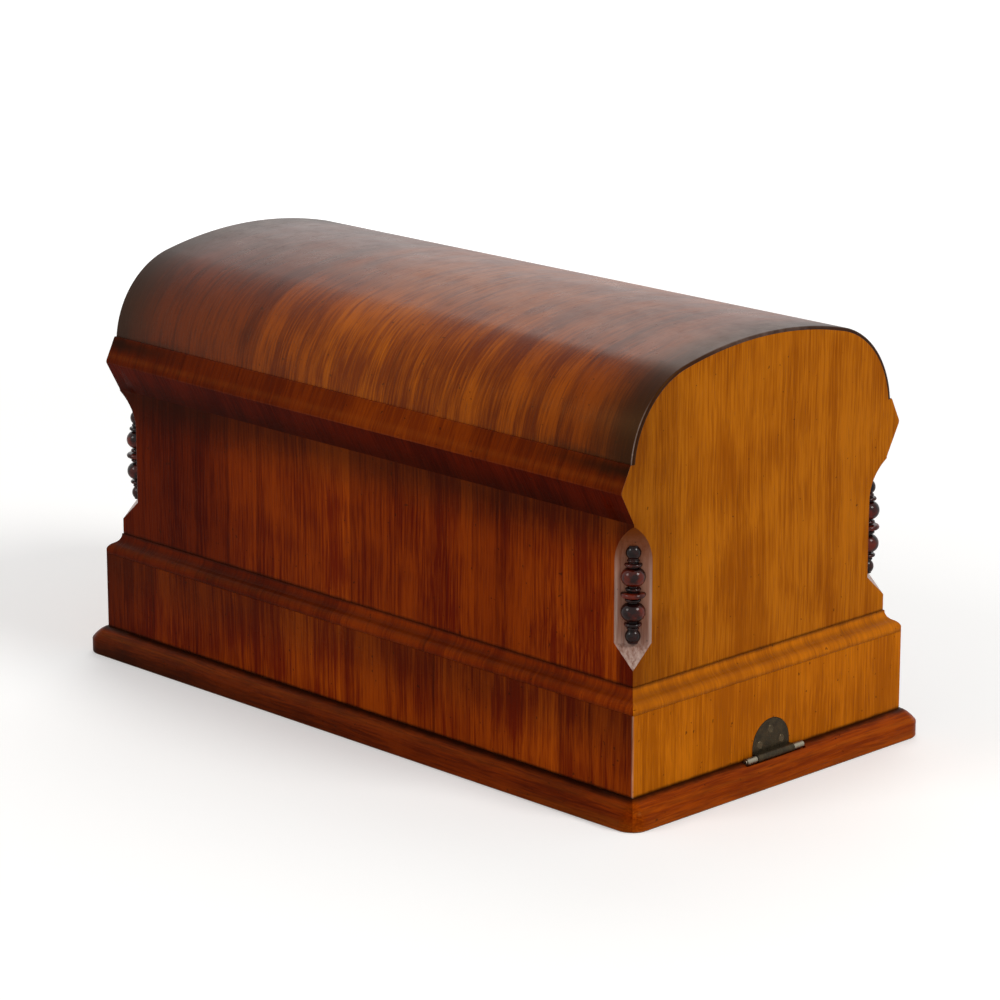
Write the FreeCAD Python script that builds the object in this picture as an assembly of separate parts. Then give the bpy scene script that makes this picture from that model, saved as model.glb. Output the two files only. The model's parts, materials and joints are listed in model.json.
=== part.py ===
import FreeCAD, Part
import math
import os

from FreeCAD import Placement, Rotation, Vector

os.makedirs("parts", exist_ok=True)

# A sewing machine's vaulted cover on its moulded plinth. Millimetres.
# Origin: middle of the plinth's underside. +X runs along the box to the hinged end,
# +Y from the front to the back, +Z up.

# Plinth frame
PLINTH_HEIGHT = 16.5
PLINTH_REACH = 10.0
PLINTH_LIP = 1.0
PLINTH_TOP_RADIUS = 1.0
PLINTH_FOOT_CHAMFER = 0.8
NOSE_HEIGHT = 9.6
NOSE_RADIUS = 1.4
THUMB_BULGE = 0.7
SIDE_RAIL_WIDTH = 33.0
END_RAIL_WIDTH = 45.0

# Cover walls, measured over the base band that wraps them
COVER_LENGTH = 450.0
COVER_WIDTH = 225.0
SIDE_BOARD = 10.0
END_BOARD = 10.0
BAND_THICKNESS = 8.0
BAND_HEIGHT = 47.0
BAND_ARRIS = 1.2
MOULDING_HEIGHT = 12.5
MOULDING_FILLET = 0.7
MOULDING_LIP = 1.2
MOULDING_SWELL = 0.9
WAIST_HEIGHT = 91.5

# Eaves and vault
FLARE_HEIGHT = 19.0
EAVES_REACH = 10.4
EAVES_NOSE_RADIUS = 2.6
EAVES_SLOPE_HEIGHT = 14.5
SPRING_REACH = 2.0
QUIRK = 1.2
CROWN_RISE = 56.0
SHOULDER_RADIUS = 55.0
SIDE_LEAN = 5.5
VAULT_THICKNESS = 7.0
VAULT_LAP = 2.0

# Stopped chamfer on each waist corner, and the split turning that sits in it
CHAMFER_LEG = 14.5
CHAMFER_FOOT_GAP = 9.5
CHAMFER_FOOT_HEIGHT = 13.0
CHAMFER_HEAD_GAP = 1.0
CHAMFER_HEAD_HEIGHT = 22.0
SPINDLE_END_GAP = 13.0
SPINDLE_NECK = 2.9
SPINDLE_NECK_RUN = 0.6
MIDDLE_DISC = (3.4, 7.0)
SPINDLE_MEMBERS = [(2.3, 4.4), (12.4, 6.9), (2.3, 5.0), (1.6, 3.5), (7.7, 4.3)]

# Locating strips on the plinth, inside the cover's walls
STRIP_GAP = 1.0
STRIP_THICKNESS = 4.0
STRIP_HEIGHT = 8.0
STRIP_CHAMFER = 1.5

# Glue blocks inside the cover
CORNER_BLOCK_LEG = 16.0
CORNER_BLOCK_RAISE = 4.0
VAULT_BLOCK_RISE = 11.0
VAULT_BLOCK_LENGTH = 42.0
VAULT_BLOCK_COUNT = 5

# Hinge at the right end
PIN_RADIUS = 1.3
PIN_FIT = 0.05
PIN_END = 0.8
KNUCKLE_RADIUS = 2.4
KNUCKLE_LENGTH = 30.4
KNUCKLE_GAP = 0.3
EYE_LENGTH = 8.0
EYE_RADIUS = 2.0
HINGE_STANDOFF = 0.2
LEAF_THICKNESS = 1.6
LEAF_HEIGHT = 20.0
LEAF_MARGIN = 0.3
BASE_LEAF_THICKNESS = 2.0
BASE_LEAF_DEPTH = 13.0
BASE_SCREW_REACH = 12.0
SWING_GAP = 0.5

# Lock at the left end
LOCK_WIDTH = 44.0
LOCK_HEIGHT = 27.0
LOCK_DEPTH = 16.0
LOCK_RAISE = 1.5
LOCK_SCREW_BITE = 8.0
BOLT_SIZE = 4.4
BOLT_FIT = 0.15
BOLT_LENGTH = 16.8
BOLT_THROW = 7.0
BOLT_STANDBACK = 1.6
BOLT_HEIGHT = 8.2
EYE_GAP = 0.6
STAPLE_WIDTH = 10.0
STAPLE_THICKNESS = 2.5
STAPLE_RIM = 2.5
STAPLE_GAP = 0.7
STRIKE_LENGTH = 34.0
STRIKE_DEPTH = 13.0
STRIKE_THICKNESS = 2.0
KEY_RADIUS = 1.9
KEY_SLOT = 1.8
KEY_DROP = 8.0
KEY_OFFSET = 11.0
ESCUTCHEON_WIDTH = 15.0
ESCUTCHEON_HEIGHT = 24.0
ESCUTCHEON_THICKNESS = 1.0

# Countersunk screws: head radius, shank radius, length; and the slot cut in every head
WOOD_SCREW = (2.3, 1.1, 13.0)
SMALL_SCREW = (1.9, 0.9, 8.0)
SCREW_SLOT = 0.6
SCREW_SLOT_DEPTH = 0.7
SCREW_INSET = 6.2
ESCUTCHEON_PIN_RADIUS = 0.7
ESCUTCHEON_PIN_LENGTH = 6.0

# Levels and faces that follow from the sizes above
SEAM = PLINTH_HEIGHT
BAND_TOP = SEAM + BAND_HEIGHT
MOULDING_TOP = BAND_TOP + MOULDING_HEIGHT
FLARE_FOOT = MOULDING_TOP + WAIST_HEIGHT
EAVES_NOSE = FLARE_FOOT + FLARE_HEIGHT
SPRING = EAVES_NOSE + EAVES_SLOPE_HEIGHT
CROWN = SPRING + CROWN_RISE
BAND_X = COVER_LENGTH / 2
BAND_Y = COVER_WIDTH / 2
END_FACE = BAND_X - BAND_THICKNESS
SIDE_FACE = BAND_Y - BAND_THICKNESS
INNER_X = END_FACE - END_BOARD
INNER_Y = SIDE_FACE - SIDE_BOARD
PLINTH_X = BAND_X + PLINTH_REACH
PLINTH_Y = BAND_Y + PLINTH_REACH
OPENING_X = PLINTH_X - END_RAIL_WIDTH
OPENING_Y = PLINTH_Y - SIDE_RAIL_WIDTH

CORNERS = {
    "front_left": (-1, -1),
    "front_right": (1, -1),
    "back_left": (-1, 1),
    "back_right": (1, 1),
}


def face_in(plane, points):
    """A flat face through (u, v) points. A point given as (through, end) is an arc."""
    place = {
        "xy": lambda u, v: Vector(u, v, 0),
        "xz": lambda u, v: Vector(u, 0, v),
        "yz": lambda u, v: Vector(0, u, v),
    }[plane]
    edges = []
    start = place(*points[0])
    here = start
    for step in points[1:]:
        if isinstance(step[0], tuple):
            through, end = place(*step[0]), place(*step[1])
            edges.append(Part.Arc(here, through, end).toShape())
        else:
            end = place(*step)
            edges.append(Part.makeLine(here, end))
        here = end
    if not here.isEqual(start, 1e-6):
        edges.append(Part.makeLine(here, start))
    return Part.Face(Part.Wire(edges))


def prism(plane, points, low, high):
    """The face through the points, extruded square to its plane from low to high."""
    normal = {"xy": Vector(0, 0, 1), "xz": Vector(0, 1, 0), "yz": Vector(1, 0, 0)}[plane]
    face = face_in(plane, points)
    face.translate(normal * low)
    return face.extrude(normal * (high - low))


def block(x, y, z):
    """A box from three (low, high) pairs."""
    return Part.makeBox(x[1] - x[0], y[1] - y[0], z[1] - z[0], Vector(x[0], y[0], z[0]))


def rod(radius, start, end):
    axis = end - start
    return Part.makeCylinder(radius, axis.Length, start, axis)


def moved(shape, position, angle=0.0):
    """A copy turned about the upright axis, then put at the position."""
    copy = shape.copy()
    copy.Placement = Placement(position, Rotation(Vector(0, 0, 1), angle)) * copy.Placement
    return copy


def rounded_corner(before, corner, after, radius):
    """Start, middle and end of the arc that rounds a corner of an outline."""
    a, b, c = (Vector(p[0], p[1], 0) for p in (before, corner, after))
    to_a = (a - b).normalize()
    to_c = (c - b).normalize()
    half = to_a.getAngle(to_c) / 2
    centre = b + (to_a + to_c).normalize() * (radius / math.sin(half))
    run = radius / math.tan(half)
    start, end = b + to_a * run, b + to_c * run
    middle = centre + (b - centre).normalize() * radius
    return [(p.x, p.y) for p in (start, middle, end)]


def mirrored(points):
    """The same outline steps on the other side of the middle plane."""
    flipped = []
    for step in points:
        if isinstance(step[0], tuple):
            flipped.append(tuple((-u, v) for u, v in step))
        else:
            flipped.append((-step[0], step[1]))
    return flipped


def backwards(points):
    """The same outline steps walked from the last point to the first."""
    ends = [step[1] if isinstance(step[0], tuple) else step for step in points]
    walked = [ends[-1]]
    for index in range(len(points) - 1, 0, -1):
        step = points[index]
        if isinstance(step[0], tuple):
            walked.append((step[0], ends[index - 1]))
        else:
            walked.append(ends[index - 1])
    return walked


def screw(size, position, direction):
    """A countersunk screw with its head's face at the position, driven along direction."""
    head, shank, length = size
    cone_height = head - shank
    body = Part.makeCone(head, shank, cone_height).fuse(
        rod(shank, Vector(0, 0, cone_height), Vector(0, 0, length))
    )
    slot = block((-head, head), (-SCREW_SLOT / 2, SCREW_SLOT / 2), (0, SCREW_SLOT_DEPTH))
    turned = Placement(position, Rotation(Vector(0, 0, 1), direction))
    whole = body.removeSplitter()
    cut = whole.cut(slot)
    whole.Placement = turned
    cut.Placement = turned
    return cut, whole


def screw_set(size, positions, direction):
    """The slotted screws as one group, and the holes they leave."""
    pairs = [screw(size, position, direction) for position in positions]
    return Part.Compound([pair[0] for pair in pairs]), [pair[1] for pair in pairs]


def mitre_wedge(side, half_x, half_y, inward, low, high):
    """The part of a rectangular frame that belongs to one rail, with 45 degree mitres."""
    def corner(signs, step=0.0):
        return (signs[0] * (half_x - step), signs[1] * (half_y - step))

    start, end = {
        "front": ((-1, -1), (1, -1)),
        "right": ((1, -1), (1, 1)),
        "back": ((1, 1), (-1, 1)),
        "left": ((-1, 1), (-1, -1)),
    }[side]
    outline = [corner(start), corner(end), corner(end, inward), corner(start, inward)]
    return prism("xy", outline, low, high)


def rounded_slab(half_x, half_y, radius, low, high):
    """A rectangular slab with rounded upright corners."""
    slab = block((-half_x, half_x), (-half_y, half_y), (low, high))
    upright = [e for e in slab.Edges if abs(e.Vertexes[0].Z - e.Vertexes[-1].Z) > 1e-6]
    return slab.makeFillet(radius, upright)


# Plinth: a frame of four mitred rails. The moulded edge has a small vertical nose and a
# flat thumb that rises to the cover's foot.
def plinth_edge_section(inner):
    """The rail's outline: u runs inward from the outer face, v up."""
    top = (PLINTH_REACH - PLINTH_LIP, PLINTH_HEIGHT)
    shoulder = (0.0, NOSE_HEIGHT)
    nose = rounded_corner((0.0, 0.0), shoulder, top, NOSE_RADIUS)
    run = Vector(top[0] - nose[2][0], top[1] - nose[2][1], 0)
    outward = Vector(-run.y, run.x, 0).normalize() * THUMB_BULGE
    crest = ((nose[2][0] + top[0]) / 2 + outward.x, (nose[2][1] + top[1]) / 2 + outward.y)
    return [
        (inner, 0.0),
        (PLINTH_FOOT_CHAMFER, 0.0),
        (0.0, PLINTH_FOOT_CHAMFER),
        nose[0],
        (nose[1], nose[2]),
        (crest, top),
        (inner, PLINTH_HEIGHT),
    ]


def plinth_frame():
    corner = PLINTH_REACH + PLINTH_TOP_RADIUS
    section = face_in("xz", plinth_edge_section(corner))
    core_x, core_y = PLINTH_X - corner, PLINTH_Y - corner
    pieces = [block((-core_x, core_x), (-core_y, core_y), (0, PLINTH_HEIGHT))]
    for angle, reach, half_run in ((0, PLINTH_X, core_y), (90, PLINTH_Y, core_x)):
        for turn in (angle, angle + 180):
            edge = section.mirror(Vector(0, 0, 0), Vector(1, 0, 0))
            edge.translate(Vector(reach, -half_run, 0))
            edge = edge.extrude(Vector(0, 2 * half_run, 0))
            pieces.append(moved(edge, Vector(0, 0, 0), turn))
    for turn, (along, across) in enumerate(((1, 1), (-1, 1), (-1, -1), (1, -1))):
        outer = section.mirror(Vector(0, 0, 0), Vector(1, 0, 0))
        outer.translate(Vector(corner, 0, 0))
        knee = outer.revolve(Vector(0, 0, 0), Vector(0, 0, 1), 90)
        pieces.append(moved(knee, Vector(along * core_x, across * core_y, 0), 90 * turn))
    frame = pieces[0].multiFuse(pieces[1:]).removeSplitter()
    opening = block((-OPENING_X, OPENING_X), (-OPENING_Y, OPENING_Y), (-1, PLINTH_HEIGHT + 1))
    return frame.cut(opening)


def plinth_rails():
    frame = plinth_frame()
    depth = {"front": SIDE_RAIL_WIDTH, "back": SIDE_RAIL_WIDTH}
    rails = {}
    for side in ("front", "back", "left", "right"):
        inward = depth.get(side, min(SIDE_RAIL_WIDTH, END_RAIL_WIDTH))
        wedge = mitre_wedge(side, PLINTH_X, PLINTH_Y, inward, 0, PLINTH_HEIGHT)
        rails[side] = frame.common(wedge)
    spare = END_RAIL_WIDTH - SIDE_RAIL_WIDTH
    if spare > 0:
        for side, sign in (("left", -1), ("right", 1)):
            span = sorted((sign * OPENING_X, sign * (OPENING_X + spare)))
            strip = block(span, (-OPENING_Y, OPENING_Y), (0, PLINTH_HEIGHT))
            rails[side] = rails[side].fuse(strip).removeSplitter()
    return rails


# Locating strips: planted on the plinth, they stand just inside the cover's walls.
def strip_section(wall):
    """A strip's outline in its wall's plane: u is the distance from the middle."""
    outer = wall - STRIP_GAP
    inner = outer - STRIP_THICKNESS
    top = SEAM + STRIP_HEIGHT
    return [
        (inner, SEAM),
        (outer, SEAM),
        (outer, top - STRIP_CHAMFER),
        (outer - STRIP_CHAMFER, top),
        (inner, top),
    ]


def locating_strips():
    end_inner = INNER_X - STRIP_GAP - STRIP_THICKNESS
    side_outer = INNER_Y - STRIP_GAP
    side = prism("yz", strip_section(INNER_Y), -end_inner, end_inner)
    end = prism("xz", strip_section(INNER_X), -side_outer, side_outer)
    lock_bay = block(
        (-COVER_LENGTH, 0),
        (-LOCK_WIDTH / 2 - STRIP_GAP, LOCK_WIDTH / 2 + STRIP_GAP),
        (0, CROWN),
    )
    half_turn = (Vector(0, 0, 0), 180)
    return {
        "back": side,
        "front": moved(side, *half_turn),
        "right": end,
        "left": moved(end, *half_turn).cut(lock_bay),
    }


# Base band and base moulding: boards wrapped round the foot of the walls, mitred at the corners.
def wrapped(section, side):
    """A section (u outward from the wall face, v up) run along one side and mitred."""
    low = min(v for u, v in section if not isinstance(u, tuple))
    along = {"front": BAND_X, "back": BAND_X, "left": BAND_Y, "right": BAND_Y}[side]
    wall = {"front": SIDE_FACE, "back": SIDE_FACE, "left": END_FACE, "right": END_FACE}[side]
    turn = {"right": 0, "back": 90, "left": 180, "front": 270}[side]
    strip = prism("xz", section, -along, along)
    strip = moved(moved(strip, Vector(wall, 0, 0)), Vector(0, 0, 0), turn)
    wedge = mitre_wedge(side, BAND_X, BAND_Y, BAND_THICKNESS + SIDE_BOARD, low, CROWN)
    arris = rounded_slab(BAND_X, BAND_Y, BAND_ARRIS, low, CROWN)
    return strip.common(wedge).common(arris)


def band_section():
    return [(0, SEAM), (BAND_THICKNESS, SEAM), (BAND_THICKNESS, BAND_TOP), (0, BAND_TOP)]


def moulding_section():
    """A cyma: hollow under the top fillet, then round down to the band's face."""
    lip = BAND_TOP + MOULDING_LIP
    under = MOULDING_TOP - MOULDING_FILLET
    middle = ((MOULDING_FILLET + BAND_THICKNESS) / 2, (lip + under) / 2)
    hollow = ((middle[0] + MOULDING_FILLET) / 2, (middle[1] + under) / 2)
    swell = ((middle[0] + BAND_THICKNESS) / 2, (middle[1] + lip) / 2)
    run = Vector(BAND_THICKNESS - MOULDING_FILLET, lip - under, 0)
    outward = Vector(-run.y, run.x, 0).normalize() * MOULDING_SWELL
    return [
        (0, BAND_TOP),
        (BAND_THICKNESS, BAND_TOP),
        (BAND_THICKNESS, lip),
        ((swell[0] + outward.x, swell[1] + outward.y), middle),
        ((hollow[0] - outward.x, hollow[1] - outward.y), (MOULDING_FILLET, under)),
        (MOULDING_FILLET, MOULDING_TOP),
        (0, MOULDING_TOP),
    ]


# Vault: a bent sheet whose outline is one crown arc between two shoulder arcs.
def shoulder_centre():
    lean = math.radians(SIDE_LEAN)
    spring_y = SIDE_FACE + SPRING_REACH
    return (
        spring_y - SHOULDER_RADIUS * math.cos(lean),
        SPRING - SHOULDER_RADIUS * math.sin(lean),
    )


def vault_arch(inset):
    """Outline steps from the back spring to the front one, inset from the outer surface."""
    shoulder_y, shoulder_z = shoulder_centre()
    drop = shoulder_z - CROWN
    crown_radius = (SHOULDER_RADIUS**2 - shoulder_y**2 - drop**2) / (2 * (drop + SHOULDER_RADIUS))
    crown_z = CROWN - crown_radius
    meet = math.atan2(shoulder_y, shoulder_z - crown_z)

    def on_shoulder(angle):
        radius = SHOULDER_RADIUS - inset
        return (shoulder_y + radius * math.sin(angle), shoulder_z + radius * math.cos(angle))

    foot = math.pi / 2 - math.radians(SIDE_LEAN)
    haunch = on_shoulder((foot + meet) / 2)
    joint = on_shoulder(meet)
    right = [on_shoulder(foot), (haunch, joint)]
    left_joint, left_haunch, left_foot = ((-p[0], p[1]) for p in (joint, haunch, right[0]))
    return right + [((0, CROWN - inset), left_joint), (left_haunch, left_foot)]


def vault_top():
    shell = vault_arch(0) + backwards(vault_arch(VAULT_THICKNESS))
    lap = vault_arch(0) + backwards(vault_arch(VAULT_LAP))
    middle = prism("yz", shell, -INNER_X, INNER_X)
    ends = [prism("yz", lap, -END_FACE, -INNER_X), prism("yz", lap, INNER_X, END_FACE)]
    return middle.multiFuse(ends).removeSplitter()


# Eaves: the outline of the moulding between the waist and the vault's spring.
def eaves_outline():
    """Steps from the vault's spring, over the nose, down to the top of the waist."""
    spring_y = SIDE_FACE + SPRING_REACH
    top = (spring_y + QUIRK, SPRING)
    nose = (SIDE_FACE + EAVES_REACH, EAVES_NOSE)
    foot = (SIDE_FACE, FLARE_FOOT)
    turn = rounded_corner(top, nose, foot, EAVES_NOSE_RADIUS)
    return [(spring_y, SPRING), top, turn[0], (turn[1], turn[2]), foot]


def eaves_moulding():
    vault_inner = vault_arch(VAULT_THICKNESS)[0]
    section = eaves_outline() + [(INNER_Y, FLARE_FOOT), (INNER_Y, vault_inner[1]), vault_inner]
    return prism("yz", section, -INNER_X, INNER_X)


# Corner chamfer: a 45 degree flat with a pointed foot and a hollow, rounded head.
def corner_place(signs, depth=0.0):
    """A corner of the waist, moved in along its diagonal, and the angle it faces."""
    step = depth / math.sqrt(2)
    angle = math.degrees(math.atan2(signs[1], signs[0]))
    return Vector(signs[0] * (END_FACE - step), signs[1] * (SIDE_FACE - step), 0), angle


def chamfer_levels():
    return MOULDING_TOP + CHAMFER_FOOT_GAP, FLARE_FOOT - CHAMFER_HEAD_GAP


def chamfer_cutter(signs):
    depth = CHAMFER_LEG / math.sqrt(2)
    low, high = chamfer_levels()
    head = CHAMFER_HEAD_HEIGHT
    radius = (depth**2 + head**2) / (2 * depth)
    half_angle = math.asin(head / radius) / 2
    bend = (radius - depth - radius * math.cos(half_angle), high - head)
    bend = (bend[0], bend[1] + radius * math.sin(half_angle))
    outline = [
        (0.0, low),
        (-depth, low + CHAMFER_FOOT_HEIGHT),
        (-depth, high - head),
        (bend, (0.0, high)),
        (CHAMFER_LEG, high),
        (CHAMFER_LEG, low),
    ]
    cutter = prism("xz", outline, -2 * CHAMFER_LEG, 2 * CHAMFER_LEG)
    return moved(cutter, *corner_place(signs))


# Spindle: a turning of discs, rings and balls, split in half and glued to the chamfer.
def member_steps(base, height, belly):
    """A bead's outline: an arc where it is round, flats and a round edge where it is a disc."""
    top = base + height
    if belly - SPINDLE_NECK > height / 2:
        flat = belly - height / 2
        return [(flat, base), ((belly, base + height / 2), (flat, top)), (SPINDLE_NECK, top)]
    return [((belly, base + height / 2), (SPINDLE_NECK, top))]


def spindle():
    low, high = chamfer_levels()
    length = high - low - 2 * SPINDLE_END_GAP
    stack = list(reversed(SPINDLE_MEMBERS)) + [MIDDLE_DISC] + SPINDLE_MEMBERS
    necks = SPINDLE_NECK_RUN * (len(stack) + 1)
    stretch = (length - necks) / sum(height for height, belly in stack)
    level = (low + high - length) / 2
    outline = [(0.0, level), (SPINDLE_NECK, level)]
    for height, belly in stack:
        level += SPINDLE_NECK_RUN
        outline.append((SPINDLE_NECK, level))
        outline += member_steps(level, height * stretch, belly)
        level += height * stretch
    level += SPINDLE_NECK_RUN
    outline += [(SPINDLE_NECK, level), (0.0, level)]
    half = face_in("xz", outline).revolve(Vector(0, 0, 0), Vector(0, 0, 1), 180)
    return moved(half, Vector(0, 0, 0), -90)


# Glue blocks
def corner_block(signs):
    """A triangular block up the inside of a waist corner."""
    leg = CORNER_BLOCK_LEG
    sx, sy = signs
    outline = [
        (sx * INNER_X, sy * INNER_Y),
        (sx * (INNER_X - leg), sy * INNER_Y),
        (sx * INNER_X, sy * (INNER_Y - leg)),
    ]
    return prism("xy", outline, SEAM + STRIP_HEIGHT + CORNER_BLOCK_RAISE, FLARE_FOOT)


def vault_blocks():
    """Short blocks rubbed into the angle between the eaves and the vault."""
    foot = vault_arch(VAULT_THICKNESS)[0]
    centre_y, centre_z = shoulder_centre()
    top_z = foot[1] + VAULT_BLOCK_RISE
    inner_radius = SHOULDER_RADIUS - VAULT_THICKNESS
    top_y = centre_y + math.sqrt(inner_radius**2 - (top_z - centre_z) ** 2)
    section = [(INNER_Y, foot[1]), foot, (top_y, top_z)]
    pitch = 2 * INNER_X / VAULT_BLOCK_COUNT
    blocks = []
    for index in range(VAULT_BLOCK_COUNT):
        middle = -INNER_X + pitch * (index + 0.5)
        half = VAULT_BLOCK_LENGTH / 2
        blocks.append(prism("yz", section, middle - half, middle + half))
    return Part.Compound(blocks)


# Hinge: a half-round leaf let into the end band, a leaf let into the plinth, and a pin.
HINGE_X = BAND_X + HINGE_STANDOFF + KNUCKLE_RADIUS
KNUCKLE_HALF = KNUCKLE_LENGTH / 2
EYE_START = KNUCKLE_HALF + KNUCKLE_GAP
EYE_END = EYE_START + EYE_LENGTH
PIN_REACH = EYE_END + PIN_END


def hinge_rod(radius, y_low, y_high):
    return rod(radius, Vector(HINGE_X, y_low, SEAM), Vector(HINGE_X, y_high, SEAM))


def leaf_outline(margin=0.0):
    """A half-round plate standing on the seam."""
    half = KNUCKLE_HALF + margin
    straight = SEAM + LEAF_HEIGHT - KNUCKLE_HALF
    crown = SEAM + LEAF_HEIGHT + margin
    return [(-half, SEAM), (half, SEAM), (half, straight), ((0, crown), (-half, straight))]


def hinge_screw_places():
    high = SEAM + LEAF_HEIGHT - SCREW_INSET
    low = SEAM + SCREW_INSET
    wide = KNUCKLE_HALF - SCREW_INSET
    return [Vector(BAND_X, y, z) for y, z in ((0, high), (-wide, low), (wide, low))]


def hinge_cover_leaf(screw_holes):
    plate = prism("yz", leaf_outline(), BAND_X - LEAF_THICKNESS, BAND_X)
    flange = block(
        (BAND_X - LEAF_THICKNESS, HINGE_X),
        (-KNUCKLE_HALF, KNUCKLE_HALF),
        (SEAM, SEAM + KNUCKLE_RADIUS),
    )
    knuckle = hinge_rod(KNUCKLE_RADIUS, -KNUCKLE_HALF, KNUCKLE_HALF)
    leaf = plate.multiFuse([flange, knuckle]).removeSplitter()
    bore = hinge_rod(PIN_RADIUS + PIN_FIT, -KNUCKLE_LENGTH, KNUCKLE_LENGTH)
    return leaf.cut(bore).cut(screw_holes)


def hinge_base_plate():
    """The leaf under the cover, with an eye at each end of the knuckle."""
    level = (SEAM - BASE_LEAF_THICKNESS, SEAM)
    inner = BAND_X - BASE_LEAF_DEPTH
    plate = block((inner, HINGE_X), (-EYE_END, EYE_END), level)
    relief = HINGE_X - KNUCKLE_RADIUS - SWING_GAP
    bay = block((relief, HINGE_X), (-EYE_START, EYE_START), (0, SEAM))
    plate = plate.cut(bay)
    for sign in (-1, 1):
        span = sorted((sign * EYE_START, sign * EYE_END))
        plate = plate.fuse(hinge_rod(EYE_RADIUS, *span))
    return plate.removeSplitter()


def base_leaf_screw_places():
    middle = BAND_X - BASE_LEAF_DEPTH / 2
    return [Vector(middle, sign * BASE_SCREW_REACH, SEAM) for sign in (-1, 1)]


# Lock: a case on the left end board, its bolt, and the staple it shoots through.
LOCK_X = -(INNER_X - LOCK_DEPTH / 2)
BOLT_Z = SEAM + BOLT_HEIGHT
EYE_HALF = BOLT_SIZE / 2 + EYE_GAP
CHANNEL_HALF = BOLT_SIZE / 2 + BOLT_FIT
BOLT_REST = STAPLE_THICKNESS / 2 + BOLT_STANDBACK


def strike_plate(screw_holes):
    """A plate let into the plinth with an upright staple."""
    foot = block(
        (LOCK_X - STRIKE_DEPTH / 2, LOCK_X + STRIKE_DEPTH / 2),
        (-STRIKE_LENGTH / 2, STRIKE_LENGTH / 2),
        (SEAM - STRIKE_THICKNESS, SEAM),
    )
    staple = block(
        (LOCK_X - STAPLE_WIDTH / 2, LOCK_X + STAPLE_WIDTH / 2),
        (-STAPLE_THICKNESS / 2, STAPLE_THICKNESS / 2),
        (SEAM, BOLT_Z + EYE_HALF + STAPLE_RIM),
    )
    eye = block(
        (LOCK_X - EYE_HALF, LOCK_X + EYE_HALF),
        (-STAPLE_THICKNESS, STAPLE_THICKNESS),
        (BOLT_Z - EYE_HALF, BOLT_Z + EYE_HALF),
    )
    return foot.fuse(staple).removeSplitter().cut(eye).cut(screw_holes)


def strike_screw_places():
    return [Vector(LOCK_X, sign * (STRIKE_LENGTH / 2 - SCREW_INSET), SEAM) for sign in (-1, 1)]


def keyhole(x_low, x_high):
    """A round hole with a slot under it, cut along X."""
    centre = Vector(0, KEY_OFFSET, BOLT_Z + KEY_DROP)
    hole = rod(KEY_RADIUS, centre + Vector(x_low, 0, 0), centre + Vector(x_high, 0, 0))
    slot = block(
        (x_low, x_high),
        (KEY_OFFSET - KEY_SLOT / 2, KEY_OFFSET + KEY_SLOT / 2),
        (BOLT_Z, BOLT_Z + KEY_DROP),
    )
    return hole.fuse(slot)


def lock_screw_places():
    inner = -(INNER_X - LOCK_DEPTH)
    edge = LOCK_WIDTH / 2 - SCREW_INSET / 2
    high = SEAM + LOCK_RAISE + LOCK_HEIGHT - SCREW_INSET / 2
    return [Vector(inner, sign * edge, high) for sign in (-1, 1)]


def lock_case(screw_holes):
    case = block(
        (-INNER_X, -(INNER_X - LOCK_DEPTH)),
        (-LOCK_WIDTH / 2, LOCK_WIDTH / 2),
        (SEAM + LOCK_RAISE, SEAM + LOCK_RAISE + LOCK_HEIGHT),
    )
    staple_slot = block(
        (LOCK_X - STAPLE_WIDTH / 2 - STAPLE_GAP, LOCK_X + STAPLE_WIDTH / 2 + STAPLE_GAP),
        (-STAPLE_THICKNESS / 2 - STAPLE_GAP, STAPLE_THICKNESS / 2 + STAPLE_GAP),
        (SEAM, BOLT_Z + EYE_HALF + STAPLE_RIM + STAPLE_GAP),
    )
    channel = block(
        (LOCK_X - CHANNEL_HALF, LOCK_X + CHANNEL_HALF),
        (BOLT_REST - BOLT_THROW - BOLT_FIT, BOLT_REST + BOLT_LENGTH + BOLT_FIT),
        (BOLT_Z - CHANNEL_HALF, BOLT_Z + CHANNEL_HALF),
    )
    case = case.cut(staple_slot).cut(channel)
    return case.cut(keyhole(-INNER_X, LOCK_X + CHANNEL_HALF)).cut(screw_holes)


def lock_bolt():
    bolt = block(
        (LOCK_X - BOLT_SIZE / 2, LOCK_X + BOLT_SIZE / 2),
        (BOLT_REST, BOLT_REST + BOLT_LENGTH),
        (BOLT_Z - BOLT_SIZE / 2, BOLT_Z + BOLT_SIZE / 2),
    )
    talon = keyhole(-INNER_X, LOCK_X - BOLT_SIZE / 4)
    return bolt.cut(talon)


def escutcheon_outline():
    """An upright oval: two half circles joined by straight sides."""
    half = ESCUTCHEON_WIDTH / 2
    middle = BOLT_Z + KEY_DROP / 2
    straight = ESCUTCHEON_HEIGHT / 2 - half
    low, high = middle - straight, middle + straight
    left, right = KEY_OFFSET - half, KEY_OFFSET + half
    return [
        (left, low),
        ((KEY_OFFSET, low - half), (right, low)),
        (right, high),
        ((KEY_OFFSET, high + half), (left, high)),
    ]


def escutcheon_pins():
    middle = BOLT_Z + KEY_DROP / 2
    reach = ESCUTCHEON_HEIGHT / 2 - 2 * ESCUTCHEON_PIN_RADIUS - ESCUTCHEON_THICKNESS
    outer = -BAND_X - ESCUTCHEON_THICKNESS
    pins = []
    for sign in (-1, 1):
        head = Vector(outer, KEY_OFFSET, middle + sign * reach)
        pins.append(rod(ESCUTCHEON_PIN_RADIUS, head, head + Vector(ESCUTCHEON_PIN_LENGTH, 0, 0)))
    return pins


def end_board_outline():
    """The whole end: waist, eaves and vault, inside the vault's lap."""
    side = [(SIDE_FACE, SEAM)] + backwards(eaves_outline())
    return side + vault_arch(VAULT_LAP) + mirrored(eaves_outline()) + [(-SIDE_FACE, SEAM)]


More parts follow.
